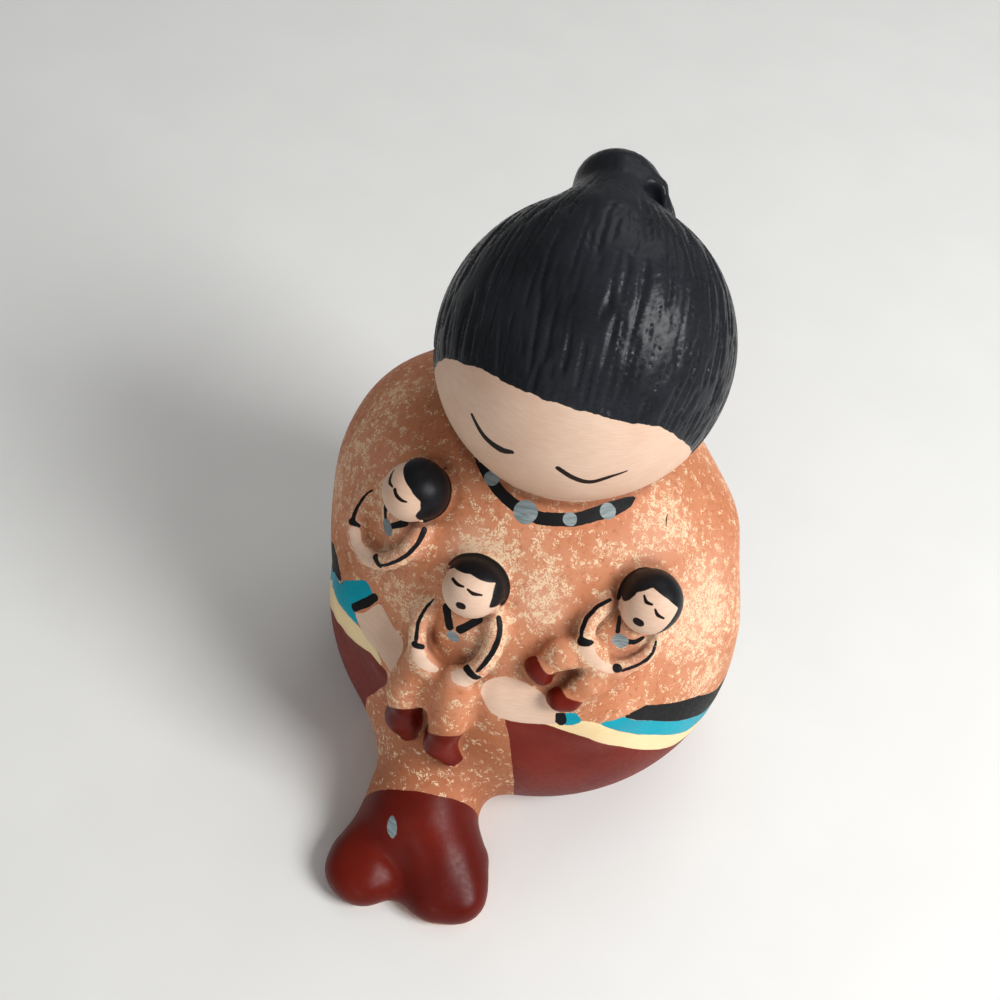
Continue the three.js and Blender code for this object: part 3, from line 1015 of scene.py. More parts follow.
CHILD_PAINT = {
    "right": ChildPaint(
        lines=(
            Stroke(
                ((-4.3, -3.9, 2), (-3, -5, 1.4), (-2, -5.5, 1.1), (-0.7, -5.7, 1.5)),
                (0.5, 0.9, 0.9, 0.5),
            ),
            Stroke(
                ((0.2, -5.7, 1.7), (1.4, -5.6, 1.4), (2.7, -5.1, 1.6), (3.5, -4.5, 2.1)),
                (0.9, 0.9, 0.7, 0.4),
            ),
        ),
        black=(
            Stroke(((-2.6, -2, 4.4), (-1, -2.2, 1.4)), (1.1, 1.2)),
            Stroke(((4.7, -1.4, 3.5), (1.7, -2.3, 1)), (1.7, 1.3)),
            Stroke(
                (
                    (-8.4, -1, 5.4),
                    (-9.8, -2, 3),
                    (-10.3, -2.9, 0),
                    (-10.2, -3.5, -2.1),
                    (-9.6, -4, -3.9),
                ),
                (0.5, 0.8, 0.9),
            ),
            Stroke(((-9.7, -4.2, -4.1), (-8.2, -2.8, -4.6)), (1.6, 0.8)),
            Stroke(
                (
                    (5, -4.6, -7.3),
                    (8, -4.1, -4.5),
                    (10.2, -3.2, -1.4),
                    (10.8, -1.7, 1.8),
                    (10.4, -0.5, 4.9),
                ),
                (0.7, 0.8, 1, 1.3),
            ),
            Stroke(((1.4, -4.4, -6.8), (4.2, -4.8, -7.8)), (1.4, 1.2)),
        ),
        skin=(
            Stroke(
                ((-7.9, -4, -5.8), (-6.1, -4.4, -7.6), (-2.4, -4.9, -8.4), (0.4, -5, -8.6)),
                (2.6, 2.5, 2.8, 3.0),
            ),
        ),
        silver=(Stroke(((-0.1, -2.1, 0.2), (0.6, -2.2, -0.4)), (3, 3)),),
    ),
    "lap": ChildPaint(
        lines=(
            Stroke(((-3.8, -4.2, 2.2), (-2.1, -5.2, 2.1), (-0.6, -5.5, 2.4)), (0.7, 0.8, 0.4)),
            Stroke(((0.4, -5.5, 2.3), (1.8, -5.4, 1.9), (3.5, -4.5, 2)), (0.5, 0.8, 0.4)),
            Stroke(((0.1, -5.7, -1.8), (0.6, -5.7, -1.7)), (1.7, 1.7)),
        ),
        black=(
            Stroke(((-5, -1.3, 5.8), (-3.2, -2.1, 1.6)), (2, 1.9)),
            Stroke(((4, -1.4, 5.7), (-0.3, -2.3, 1.7)), (1.6, 1.9)),
            Stroke(
                ((-8.6, -0.8, 7), (-10.1, -2.3, 3.9), (-10.7, -3.7, 0.6), (-10.3, -4.6, -3.2)),
                (0.5, 0.9, 1),
            ),
            Stroke(((-10.5, -5, -4.6), (-8.5, -4, -5.1)), (1.4, 1.2)),
            Stroke(
                ((8.7, -2, 7.9), (9.8, -2.9, 5), (9.6, -4.2, 1), (8.3, -5.1, -3), (6.8, -5.4, -5.7)),
                (1.3, 1.3, 0.9),
            ),
            Stroke(((3.5, -4.7, -6.3), (7.1, -4.7, -7.9)), (1.7, 1.6)),
        ),
        skin=(
            Stroke(
                ((-9.2, -5, -6.2), (-8.1, -5.3, -8), (-5.8, -4.9, -9.4), (-4.2, -4, -9.9)),
                (2.9, 2.8, 2.0, 1.2),
            ),
            Stroke(((2.3, -5.5, -8.8), (4.9, -5.1, -9.6)), (3.5, 3.3)),
        ),
        silver=(Stroke(((-2.2, -1.8, -0.7), (-1.7, -1.7, -0.9)), (2.5, 2.5)),),
    ),
    "left": ChildPaint(
        lines=(
            Stroke(((-4.9, -3.5, 0.6), (-4, -4.5, 0.2), (-3, -5.1, 0.8)), (0.5, 0.8, 0.5)),
            Stroke(((-1.9, -5.6, 0.7), (-0.6, -5.9, 0.4), (1, -5.8, 0.9)), (0.5, 0.8, 0.5)),
            Stroke(((-1.5, -4.4, -4), (-1, -4.7, -3.7)), (1.9, 1.9)),
        ),
        black=(
            Stroke(((-5.1, -1.1, 3.9), (-2.3, -1.1, 0.6)), (0.8, 1.1)),
            Stroke(((4.1, -1.4, 3.9), (3.3, -1.9, 1.9), (2, -1.7, 0.6)), (0.9, 1.2, 1.3)),
            Stroke(
                (
                    (-10.5, -1, 5.8),
                    (-12.1, -1.7, 2.1),
                    (-12.5, -2.9, -1.6),
                    (-11.5, -3.6, -4.5),
                    (-10.2, -4, -6.4),
                ),
                (0.9, 1.2, 0.9),
            ),
            Stroke(((-9.6, -4.5, -6.9), (-8.3, -5.1, -6), (-7, -4.8, -4.8)), (2.1, 1.6, 0.4)),
            Stroke(
                (
                    (6.9, -2.4, 5.6),
                    (7.7, -3.2, 4),
                    (8.1, -4.2, 1.3),
                    (6.8, -4.8, -2.4),
                    (4.8, -5.3, -5.6),
                ),
                (0.6, 0.9, 0.7),
            ),
            Stroke(((3.2, -5.1, -6.1), (3.3, -5.1, -6.1)), (2, 2)),
        ),
        skin=(
            Stroke(
                ((-7.1, -5.7, -7.3), (-4.2, -6.3, -8), (-0.4, -5.8, -8.1), (2.3, -5.3, -7.3)),
                (3.2, 2.4, 2.0, 1.8),
            ),
        ),
        silver=(Stroke(((-0.1, -0.9, -0.9), (0.5, -1.1, -0.8)), (3.1, 3.1)),),
    ),
}


# Where the hems on the figure's right start, under the arm.
UNDER_ARM = ((20, 43), (31, 48), (37, 50.2), (43, 50.6), (49, 53.6), (55, 55.2))


@dataclass(frozen=True)
class SingerPaint:
    """Brush work of the singer: hair line, eyes, necklace, hems, skirt, moccasins and hands.

    The hair line, eyes and mouth are degrees round and up from the middle of the face. Hems are
    degrees from the front and heights. The skirt's edges are heights and places across, and the
    moccasins' are places across with how far back, or how high, the paint ends.
    """

    hair_line: tuple[Pair, ...] = (
        (-65, -72), (-70, -32), (-68, -14), (-63.5, -0.5), (-55, 12.5), (-43.5, 20.5),
        (-32, 25.5), (-15, 27.4), (1, 27.5), (17.5, 26), (30, 22.7), (43, 18),
        (53, 8.5), (61, -2), (67, -14), (70, -32), (65, -72),
    )
    head_radius: float = 30
    head_low: float = 70
    eye_lines: tuple[tuple[Pair, ...], ...] = (
        ((-31.3, 5.8), (-24, 0.7), (-16.4, -0.6), (-11.6, 1.2)),
        ((6.1, 0.8), (12.6, -3.6), (18.8, -5.6), (25.4, -2.6), (31.8, -0.1)),
    )
    eye_widths: tuple[tuple[float, ...], ...] = ((0.8, 1.4, 1.75, 1.0), (1.1, 1.35, 1.35, 1.0, 0.4))
    mouth: tuple[Pair, ...] = ((-3, -45.5), (1, -45.5))
    mouth_width: float = 1.9
    necklace: Stroke = Stroke(
        (
            (-20, -6.5, 91.5), (-17.6, -9.6, 91), (-15.1, -12.3, 90.2), (-12.6, -14.6, 89.3),
            (-9.4, -16.6, 88.5), (-6, -17.8, 87.8), (-1.3, -18.4, 87.1), (2.6, -17.5, 87.2),
            (6, -16.2, 87.2), (9.5, -13.8, 87.6), (12.9, -11, 87.8), (15.2, -8.7, 87.9),
            (16.5, -6.8, 88.1),
        ),
        (2.3, 2.3, 2.3, 2.4, 2.5, 2.6, 2.8, 2.8, 2.8, 3.0, 3.2, 2.4, 0.8),
    )
    necklace_dots: tuple[tuple[Triple, float], ...] = (
        ((-13, -13.9, 89.7), 3.3),
        ((-4.2, -18.2, 87.5), 5.0),
        ((4.9, -16.6, 87.3), 2.9),
        ((11.9, -12.1, 87.7), 3.5),
    )
    crack: Stroke = Stroke(((24.1, -5.5, 84.1), (24, -6.6, 83.3), (24.4, -7.7, 82.7)), (0.15, 0.45, 0.2))
    left_hems: tuple[tuple[Pair, ...], ...] = (
        (
            (24, 50.4), (29, 51.3), (36.7, 51.7), (44.7, 51), (53.3, 47.2),
            (64, 43.1), (74, 36.5), (100, 28), (180, 23),
        ),
        (
            (24, 51), (29, 51.9), (36.7, 51.7), (42, 47.7), (50.3, 42.9),
            (63, 35.7), (70, 31.3), (100, 22.5), (180, 17.5),
        ),
        (
            (24, 51.8), (29, 51.9), (33.7, 49.1), (42.7, 41.9), (49.2, 38.7),
            (62.5, 30.1), (100, 17.5), (180, 12.5),
        ),
        (
            (0, 50), (15.2, 49.6), (19.6, 48.7), (27, 46.8), (35, 41.1),
            (48, 33.2), (58, 26.8), (100, 12.5), (180, 7.5),
        ),
    )
    right_hems: tuple[tuple[Pair, ...], ...] = (
        (*UNDER_ARM, (65, 54.8), (70, 54), (78, 46), (100, 32), (140, 24), (180, 23)),
        (*UNDER_ARM, (62, 52.3), (75, 38), (100, 25), (140, 18.5), (180, 17.5)),
        (
            *UNDER_ARM[:3], (45, 51.1), (50, 51.4), (58, 51.1),
            (64, 46), (75, 33), (100, 18.5), (140, 13.5), (180, 12.5),
        ),
        (
            (20, 42), (30, 47.4), (32, 48.2), (38, 48.2), (47.5, 43.8),
            (59, 35.1), (64, 33.3), (75, 24), (100, 13.5), (180, 7.5),
        ),
    )
    hem_lean: float = 0.8
    skirt_left: tuple[Pair, ...] = (
        (0, 9.5), (16.4, 8.9), (24.6, 8.5), (33, 7.1), (40, 5.6), (49.3, 3.2), (60, 0),
    )
    skirt_right: tuple[Pair, ...] = ((0, -32), (26.8, -30.1), (38.9, -25.5), (45.3, -24.2), (60, -22))
    skirt_front: float = -20
    moccasin_line: tuple[Pair, ...] = (
        (-26, -54), (-21.6, -54.3), (-15.4, -54.4), (-6.9, -53.3), (2.7, -50.1), (6, -49),
    )
    moccasin_rim: tuple[Pair, ...] = ((-12, 0.9), (-6, 3), (12, 3))
    moccasin_silver: Stroke = Stroke(
        (
            (-16, -60.5, 18), (-15.7, -61.3, 17.4), (-15.4, -62.1, 16.8),
            (-15.1, -62.9, 16.2), (-14.8, -63.7, 15.6),
        ),
        (1.2, 2.2, 2.6, 2.2, 1.2),
    )
    skin: tuple[Patch, ...] = (
        Patch(
            (
                (-47.7, 53.1), (-45.5, 55), (-44.3, 58.1), (-41.3, 57.6), (-37.9, 56.3),
                (-32.7, 55), (-28.7, 52.7), (-27.5, 50.4), (-28.8, 48.9), (-30.9, 48.8),
                (-33.2, 49.6), (-36.6, 50), (-40.3, 50), (-43.3, 50.7),
            )
        ),
        Patch(
            (
                (-4.6, 54.8), (-4.2, 56.5), (-2, 57.7), (1.3, 58.5), (6.6, 58.3),
                (11.8, 57.2), (15.3, 56), (18.5, 53.7), (18.3, 50.1), (9.8, 49.2),
                (4, 49.5), (0.3, 50.8), (-2.3, 52.5),
            )
        ),
    )
    turquoise: tuple[Patch, ...] = (
        Patch(
            (
                (-57, 55.2), (-55, 57), (-52.4, 59.4), (-50.4, 59.9),
                (-47.3, 58.8), (-48.3, 56.8), (-49.6, 54.2), (-54, 53.4),
            )
        ),
        Patch(((19.4, 53.1), (23.3, 53.5), (24.8, 51.4), (20, 50.1))),
    )
    black: tuple[Patch | Stroke, ...] = (
        Stroke(((-35.8, -31.5, 54.1), (-33.7, -31.3, 56.5), (-31.7, -30.4, 58.6)), (2.0, 2.2, 2.0)),
        Patch(((17.7, 52.9), (20.3, 53.2), (20.9, 50.3), (18.1, 50.1))),
    )


@dataclass(frozen=True)
class Painting:
    """All the coats of paint on the figure."""

    figure: Figure
    singer_paint: SingerPaint
    child_paint: dict[str, ChildPaint]
    face_spare: float = 0.2
    shoe_spare: float = 1.1

    def on_head(self, angles: tuple[Pair, ...], widths: tuple[float, ...]) -> Trail:
        """Lay a stroke on the singer's head.

        Args:
            angles: degrees round from the front and up from the middle.
            widths: widths along the stroke, in millimetres.

        Returns:
            The stroke as a trail on the head.
        """
        around, up = np.radians(np.array(angles, float)).T
        ways = np.stack([np.sin(around) * np.cos(up), -np.cos(around) * np.cos(up), np.sin(up)], 1)
        spots = self.figure.singer.head_middle() + self.singer_paint.head_radius * ways
        return Stroke(tuple(map(tuple, spots)), widths).laid(self.figure.head)

    def hair(self, points: Array, off_head: Array) -> Array:
        """Distance to the singer's hair.

        Args:
            points: points of the skin.
            off_head: how far each lies off the head, negative on it.

        Returns:
            One distance a point.
        """
        offset = points - self.figure.singer.head_middle()
        reach = length(offset)
        up = np.degrees(np.arcsin(offset[:, 2] / reach))
        line = smooth_line(np.array(self.singer_paint.hair_line, float), pieces=3)
        scale = reach * math.pi / 180
        face = outline_distance(np.stack([degrees_round(offset), up], 1), line) * scale
        return np.maximum(-face, off_head)

    def necklace(self, points: Array, off_head: Array) -> tuple[Array, Array]:
        """Distance to the black band and to its silver dots, where the head leaves them free."""
        held, paint = self.figure.held, self.singer_paint
        band = paint.necklace.laid(held).distance(points)
        dots = [Stroke((spot,), (width,)).laid(held) for spot, width in paint.necklace_dots]
        return np.maximum(band, -off_head), np.maximum(nearest(dots, points), -off_head)

    def hems(self, points: Array) -> list[Array]:
        """Height of each point over the four edges of the hem bands, from the top one down."""
        paint = self.singer_paint
        around = degrees_round(points)
        heights = []
        for left, right in zip(paint.left_hems, paint.right_hems):
            edge = np.where(around > 0, read_off(left, around), read_off(right, -around))
            heights.append((points[:, 2] - edge) * paint.hem_lean)
        return heights

    def skirt_panel(self, points: Array) -> Array:
        """Distance to the parts of the body beside and behind the legs."""
        paint = self.singer_paint
        across, back, height = points.T
        left, right = read_off(paint.skirt_left, height), read_off(paint.skirt_right, height)
        panel = np.minimum(left - across, across - right)
        return np.where(back > paint.skirt_front, -KEPT, panel)

    def on_body(self, kind: str, points: Array, off_child: Array) -> Array:
        """Distance to the singer's own patches and strokes of one kind, kept off the children."""
        laid = [
            form.laid(self.figure.bare) if isinstance(form, Stroke) else form
            for form in getattr(self.singer_paint, kind)
        ]
        return np.maximum(nearest(laid, points), -off_child)

    def strokes(self, kind: str, points: Array) -> Array:
        """Distance to the children's strokes of one kind, and to the singer's lines and silver.

        Args:
            kind: "skin", "black", "silver" or "lines".
            points: points of the skin.

        Returns:
            One distance a point.
        """
        whole, paint = self.figure.whole, self.singer_paint
        trails = []
        if kind == "lines":
            lines = (*zip(paint.eye_lines, paint.eye_widths), (paint.mouth, (paint.mouth_width,)))
            trails += [self.on_head(line, widths) for line, widths in lines]
            trails.append(paint.crack.laid(whole))
        elif kind == "silver":
            trails.append(paint.moccasin_silver.laid(whole))
        for seated in self.figure.children:
            pose = seated.head_pose if kind == "lines" else seated.pose
            kept = getattr(self.child_paint[seated.child.name], kind)
            trails += [stroke.laid(whole, pose) for stroke in kept]
        return nearest(trails, points)

    def on_child(self, seated: SeatedChild, points: Array, bare: Array) -> tuple[Array, ...]:
        """Distances that one child is painted by.

        Args:
            seated: the child.
            points: points of the skin near it.
            bare: how far each lies off the singer.

        Returns:
            Distances to the child, to its head, to its hair and to its shoes.
        """
        chest = seated.chest.distance(points)
        head = seated.head.distance(points)
        child = (np.minimum(chest, head) - bare) / MEETING
        face = np.maximum.reduce([head - chest, head - bare, head]) / MEETING - self.face_spare
        window = seated.child.opening().distance(seated.head_pose.inward(points))
        cap = np.maximum(-window, face - self.face_spare)
        shoes = np.maximum(nearest(seated.shoes, points) - self.shoe_spare, child)
        return child, face, cap, shoes

    def coats(self, points: Array) -> dict[Layer, Array]:
        """Distance of each point to the edge of every coat.

        Args:
            points: points of the skin.

        Returns:
            One array of distances a layer, negative inside.
        """
        figure, paint = self.figure, self.singer_paint
        across, back, height = points.T
        bare = figure.bare.distance(points)
        off_head = (figure.head.distance(points) - figure.held.distance(points)) / MEETING
        off_head = np.where(height < paint.head_low, KEPT, off_head)
        band, dots = self.necklace(points, off_head)
        top, second, third, last = self.hems(points)
        panel = self.skirt_panel(points)
        shoe = np.maximum(
            back - read_off(paint.moccasin_line, across),
            read_off(paint.moccasin_rim, across) - height,
        )
        face = off_head.copy()
        cap = np.full(len(points), FAR)
        off_child = np.full(len(points), FAR)
        for seated in figure.children:
            near = length(points - seated.pose.at) < seated.child.reach
            found = self.on_child(seated, points[near], bare[near])
            for coat, off in zip((off_child, face, cap, shoe), found):
                coat[near] = np.minimum(coat[near], off)
        turquoise = [
            np.maximum.reduce([-third, second, panel]),
            self.on_body("turquoise", points, off_child),
        ]
        skin = [face, self.strokes("skin", points), self.on_body("skin", points, off_child)]
        black = [
            np.maximum.reduce([-second, top, panel]),
            band,
            self.strokes("black", points),
            self.on_body("black", points, off_child),
        ]
        return {
            Layer.SKIRT: np.maximum(last, panel),
            Layer.CREAM: np.maximum.reduce([-last, third, panel]),
            Layer.TURQUOISE: np.minimum.reduce(turquoise),
            Layer.SKIN: np.minimum.reduce(skin),
            Layer.BLACK: np.minimum.reduce(black),
            Layer.SHOE: shoe,
            Layer.HAIR: self.hair(points, off_head),
            Layer.CAP: cap,
            Layer.SILVER: np.minimum(dots, self.strokes("silver", points)),
            Layer.LINE: self.strokes("lines", points),
        }


@dataclass
class Skin:
    """Triangles drawn over a form."""

    form: Form
    points: Array
    faces: Array

    @classmethod
    def drawn(cls, form: Form, low: Triple, high: Triple, step: float) -> "Skin":
        """Draw a skin of even triangles.

        Args:
            form: what the skin covers.
            low: lowest corner of the space that holds the form.
            high: highest corner of it.
            step: size of the grid that the form is sampled on.

        Returns:
            A closed skin with its faces outward.
        """
        grid = cls.sampled(form, np.array(low, float), high, step)
        points, quads = cls.netted(grid, np.array(low, float), step)
        faces = np.concatenate([quads[:, [0, 1, 2]], quads[:, [0, 2, 3]]])
        return cls(form, form.settle(points), faces)

    @staticmethod
    def sampled(form: Form, low: Array, high: Triple, step: float) -> Array:
        """Distances on a grid, worked out closely only near the surface, in three passes."""
        strides, band = (4, 2, 1), 2.5
        widest = strides[0]
        counts = [
            widest * math.ceil((end - start) / (widest * step)) + 1
            for start, end in zip(low, high)
        ]
        grid = np.zeros((0, 0, 0))
        for stride in strides:
            sizes = [(count - 1) // stride + 1 for count in counts]
            fresh = np.zeros(sizes)
            need = np.ones(sizes, bool)
            if stride < widest:
                fresh[::2, ::2, ::2] = grid
                fresh[1::2, ::2, ::2] = (grid[:-1] + grid[1:]) / 2
                fresh[:, 1::2, ::2] = (fresh[:, :-1:2, ::2] + fresh[:, 2::2, ::2]) / 2
                fresh[:, :, 1::2] = (fresh[:, :, :-1:2] + fresh[:, :, 2::2]) / 2
                need = np.abs(fresh) < band * step * stride
            spots = np.argwhere(need)
            fresh[need] = form.distance(low + spots * step * stride)
            grid = fresh
        return grid

    @staticmethod
    def netted(grid: Array, low: Array, step: float) -> tuple[Array, Array]:
        """One point in every cell that the surface crosses, and a quad over every crossed edge."""
        inside = grid < 0
        shape = np.array(grid.shape) - 1
        corners = [(i, j, k) for i in (0, 1) for j in (0, 1) for k in (0, 1)]

        def cut(values: Array, corner: tuple[int, ...]) -> Array:
            """Values at one corner of every cell."""
            return values[tuple(slice(c, c + size) for c, size in zip(corner, shape))]

        count = sum(cut(inside, corner).astype(np.int8) for corner in corners)
        active = (count > 0) & (count < 8)
        number = np.full(shape, -1)
        number[active] = np.arange(active.sum())
        cells = np.argwhere(active)
        total = np.zeros((len(cells), 3))
        hits = np.zeros(len(cells))
        for corner in corners:
            for axis in range(3):
                if corner[axis]:
                    continue
                other = tuple(1 if k == axis else c for k, c in enumerate(corner))
                near, far = cut(grid, corner)[active], cut(grid, other)[active]
                crossed = (near < 0) != (far < 0)
                spot = np.tile(np.array(corner, float), (len(cells), 1))
                spot[:, axis] = np.where(crossed, near / np.where(crossed, near - far, 1), 0)
                total[crossed] += spot[crossed]
                hits += crossed
        points = low + (cells + total / hits[:, None]) * step
        quads = []
        for axis in range(3):
            start = [slice(1, -1)] * 3
            end = [slice(1, -1)] * 3
            start[axis], end[axis] = slice(0, -1), slice(1, None)
            near, far = inside[tuple(start)], inside[tuple(end)]
            for leaving in (True, False):
                spots = np.argwhere(near & ~far if leaving else ~near & far)
                ring = []
                for step_u, step_v in ((-1, -1), (0, -1), (0, 0), (-1, 0)):
                    cell = spots.copy()
                    cell[:, (axis + 1) % 3] += 1 + step_u
                    cell[:, (axis + 2) % 3] += 1 + step_v
                    ring.append(number[tuple(cell.T)])
                quads.append(np.stack(ring if leaving else ring[::-1], 1))
        return points, np.concatenate(quads)

    def edges(self) -> tuple[Array, Array]:
        """Every edge once, and the number of the edge on each side of each face."""
        sides = np.stack([self.faces, np.roll(self.faces, -1, axis=1)], 2).reshape(-1, 2)
        edges, number = np.unique(np.sort(sides, axis=1), axis=0, return_inverse=True)
        return edges, number.reshape(-1, 3)

    def split(self, goals: Array, spare: float = 1.4) -> None:
        """Halve the edges that are longer than their goal, and cut every face to match.

        Args:
            goals: the edge length aimed at, one a point.
            spare: how many times its goal an edge may be long.
        """
        edges, number = self.edges()
        ends = self.points[edges]
        long = length(ends[:, 0] - ends[:, 1]) > spare * goals[edges].mean(1)
        middle = np.full(len(edges), -1)
        middle[long] = len(self.points) + np.arange(long.sum())
        self.points = np.concatenate([self.points, self.form.settle(ends[long].mean(1))])
        marks = middle[number]
        cuts = (marks >= 0).sum(1)
        kept = [self.faces[cuts == 0]]
        for amount in (1, 2, 3):
            faces, mids = self.faces[cuts == amount], marks[cuts == amount]
            shift = np.zeros(len(faces), int)
            if amount == 1:
                shift = np.argmax(mids >= 0, axis=1)
            elif amount == 2:
                shift = (np.argmax(mids < 0, axis=1) + 1) % 3
            turn = (np.arange(3) + shift[:, None]) % 3
            a, b, c = np.take_along_axis(faces, turn, 1).T
            ab, bc, ca = np.take_along_axis(mids, turn, 1).T
            cut = {
                1: ((a, ab, c), (ab, b, c)),
                2: ((ab, b, bc), (a, ab, bc), (a, bc, c)),
                3: ((a, ab, ca), (ab, b, bc), (ca, bc, c), (ab, bc, ca)),
            }[amount]
            kept += [np.stack(face, 1) for face in cut]
        self.faces = np.concatenate(kept)

    def relax(self, share: float, rounds: int) -> None:
        """Slide the points towards the middle of their neighbours and back on to the form.

        Args:
            share: how far of the way a point goes.
            rounds: how often.
        """
        edges, _ = self.edges()
        both = np.concatenate([edges, edges[:, ::-1]])
        degree = np.bincount(both[:, 0], minlength=len(self.points))
        for _ in range(rounds):
            total = np.stack(
                [
                    np.bincount(both[:, 0], self.points[both[:, 1], axis], len(self.points))
                    for axis in range(3)
                ],
                1,
            )
            middle = total / degree[:, None]
            self.points = self.form.settle(self.points + share * (middle - self.points), 1)

    def shade_depths(self) -> Array:
        """How deep each point sits between other clay, from 0 in the open to 1; the clay is painted
        darker by it, as painted shade and some stain.
        """
        reaches, weights = (0.8, 2.0, 4.5, 8.0), (0.3, 0.3, 0.25, 0.15)
        slope = self.form.slope(self.points)
        outward = slope / length(slope)[:, None]
        shade_depth = np.zeros(len(self.points))
        for reach, weight in zip(reaches, weights):
            room = self.form.distance(self.points + reach * outward) / reach
            shade_depth += weight * np.clip(1 - room, 0, 1)
        return shade_depth


@dataclass(frozen=True)
class Paint:
    """One coat of paint: its tones, its gloss and how it was brushed on."""

    layer: Layer
    colour: Triple
    shade: Triple
    roughness: float
    wobble: float
    wobble_size: float
    streak: float


PAINTS = (
    Paint(Layer.SKIRT, (0.49, 0.14, 0.08), (0.41, 0.09, 0.05), 0.5, 0.25, 4, 0.25),
    Paint(Layer.CREAM, (0.98, 0.89, 0.70), (0.93, 0.81, 0.60), 0.50, 0.25, 4, 0.3),
    Paint(Layer.TURQUOISE, (0.00, 0.65, 0.73), (0.00, 0.56, 0.64), 0.42, 0.25, 4, 0.3),
    Paint(Layer.SKIN, (0.91, 0.79, 0.70), (0.86, 0.71, 0.61), 0.52, 0.2, 4, 0.4),
    Paint(Layer.BLACK, (0.075, 0.07, 0.08), (0.045, 0.04, 0.045), 0.55, 0.2, 4, 0.2),
    Paint(Layer.SHOE, (0.43, 0.10, 0.05), (0.35, 0.07, 0.04), 0.36, 0.2, 3, 0.1),
    Paint(Layer.HAIR, (0.145, 0.155, 0.175), (0.09, 0.095, 0.11), 0.31, 0.7, 6, 0.2),
    Paint(Layer.CAP, (0.09, 0.095, 0.11), (0.06, 0.06, 0.07), 0.4, 0.1, 6, 0.2),
    Paint(Layer.SILVER, (0.60, 0.65, 0.66), (0.38, 0.44, 0.45), 0.40, 0.2, 4, 0.6),
    Paint(Layer.LINE, (0.12, 0.06, 0.05), (0.09, 0.04, 0.03), 0.45, 0.1, 4, 0.1),
)


def linear(colour: Triple) -> tuple[float, float, float, float]:
    """Colour for a shader socket, from the tones of a screen."""
    tones = np.array(colour)
    light = np.where(tones <= 0.04045, tones / 12.92, ((tones + 0.055) / 1.055) ** 2.4)
    return (*light.tolist(), 1.0)


class Wiring:
    """Adds nodes to a tree and joins them, one call a node."""

    def __init__(self, tree: bpy.types.NodeTree) -> None:
        """Start on an empty tree."""
        self.tree = tree
        tree.nodes.clear()

    def node(self, kind: str, inputs: dict | None = None, **settings: object) -> bpy.types.Node:
        """Add a node.

        Args:
            kind: Blender's name of the node.
            inputs: values or sockets for its inputs, by name or number.
            settings: properties of the node itself.

        Returns:
            The node.
        """
        made = self.tree.nodes.new(kind)
        for name, value in settings.items():
            setattr(made, name, value)
        for name, value in (inputs or {}).items():
            self.feed(made.inputs[name], value)
        return made

    def feed(self, socket: Socket, value: object) -> None:
        """Join a socket to another, or set its value."""
        if isinstance(value, Socket):
            self.tree.links.new(value, socket)
        else:
            socket.default_value = value

    def end(self, kind: str, value: Socket) -> None:
        """Add the tree's last node and join its first input."""
        self.feed(self.node(kind).inputs[0], value)

    def reckon(self, operation: str, *values: object) -> Socket:
        """Work out a Math node's operation on sockets or numbers."""
        return self.node("ShaderNodeMath", dict(enumerate(values)), operation=operation).outputs[0]

    def plus(self, *values: object) -> Socket:
        """Add two sockets or numbers."""
        return self.reckon("ADD", *values)

    def times(self, *values: object) -> Socket:
        """Multiply two sockets or numbers."""
        return self.reckon("MULTIPLY", *values)

    def spread(
        self, value: object, low: float, high: float, start: float = 0, end: float = 1
    ) -> Socket:
        """Map a range softly on to another one.

        Args:
            value: the socket to map.
            low: value that becomes start.
            high: value that becomes end.
            start: first value of the outcome.
            end: last value of the outcome.

        Returns:
            The mapped socket.
        """
        inputs = {0: value, 1: low, 2: high, 3: start, 4: end}
        return self.node("ShaderNodeMapRange", inputs, interpolation_type="SMOOTHSTEP").outputs[0]

    def moved(self, vector: object, **inputs: Triple) -> Socket:
        """Move or scale a place.

        Args:
            vector: the place.
            inputs: Location or Scale of the Mapping node.

        Returns:
            The new place.
        """
        return self.node("ShaderNodeMapping", {"Vector": vector, **inputs}).outputs[0]

    def noise(self, vector: object, scale: float, detail: float = 2, twist: float = 0) -> Socket:
        """Noise between 0 and 1.

        Args:
            vector: where it is read.
            scale: how fine it is.
            detail: how many finer noises lie over it.
            twist: how far it is distorted.

        Returns:
            The value's socket.
        """
        inputs = {"Vector": vector, "Scale": scale, "Detail": detail, "Distortion": twist}
        return self.node("ShaderNodeTexNoise", inputs, noise_dimensions="3D").outputs["Fac"]

    def mixed(self, share: object, first: object, second: object) -> Socket:
        """Mix two colours."""
        inputs = {0: share, 6: first, 7: second}
        return self.node("ShaderNodeMix", inputs, data_type="RGBA").outputs[2]

    def between(self, share: object, first: object, second: object) -> Socket:
        """Mix two numbers."""
        return self.node("ShaderNodeMix", {0: share, 2: first, 3: second}).outputs[0]

    def read(self, name: str) -> Socket:
        """Read a value that the skin carries."""
        return self.node("ShaderNodeAttribute", attribute_name=name).outputs["Fac"]


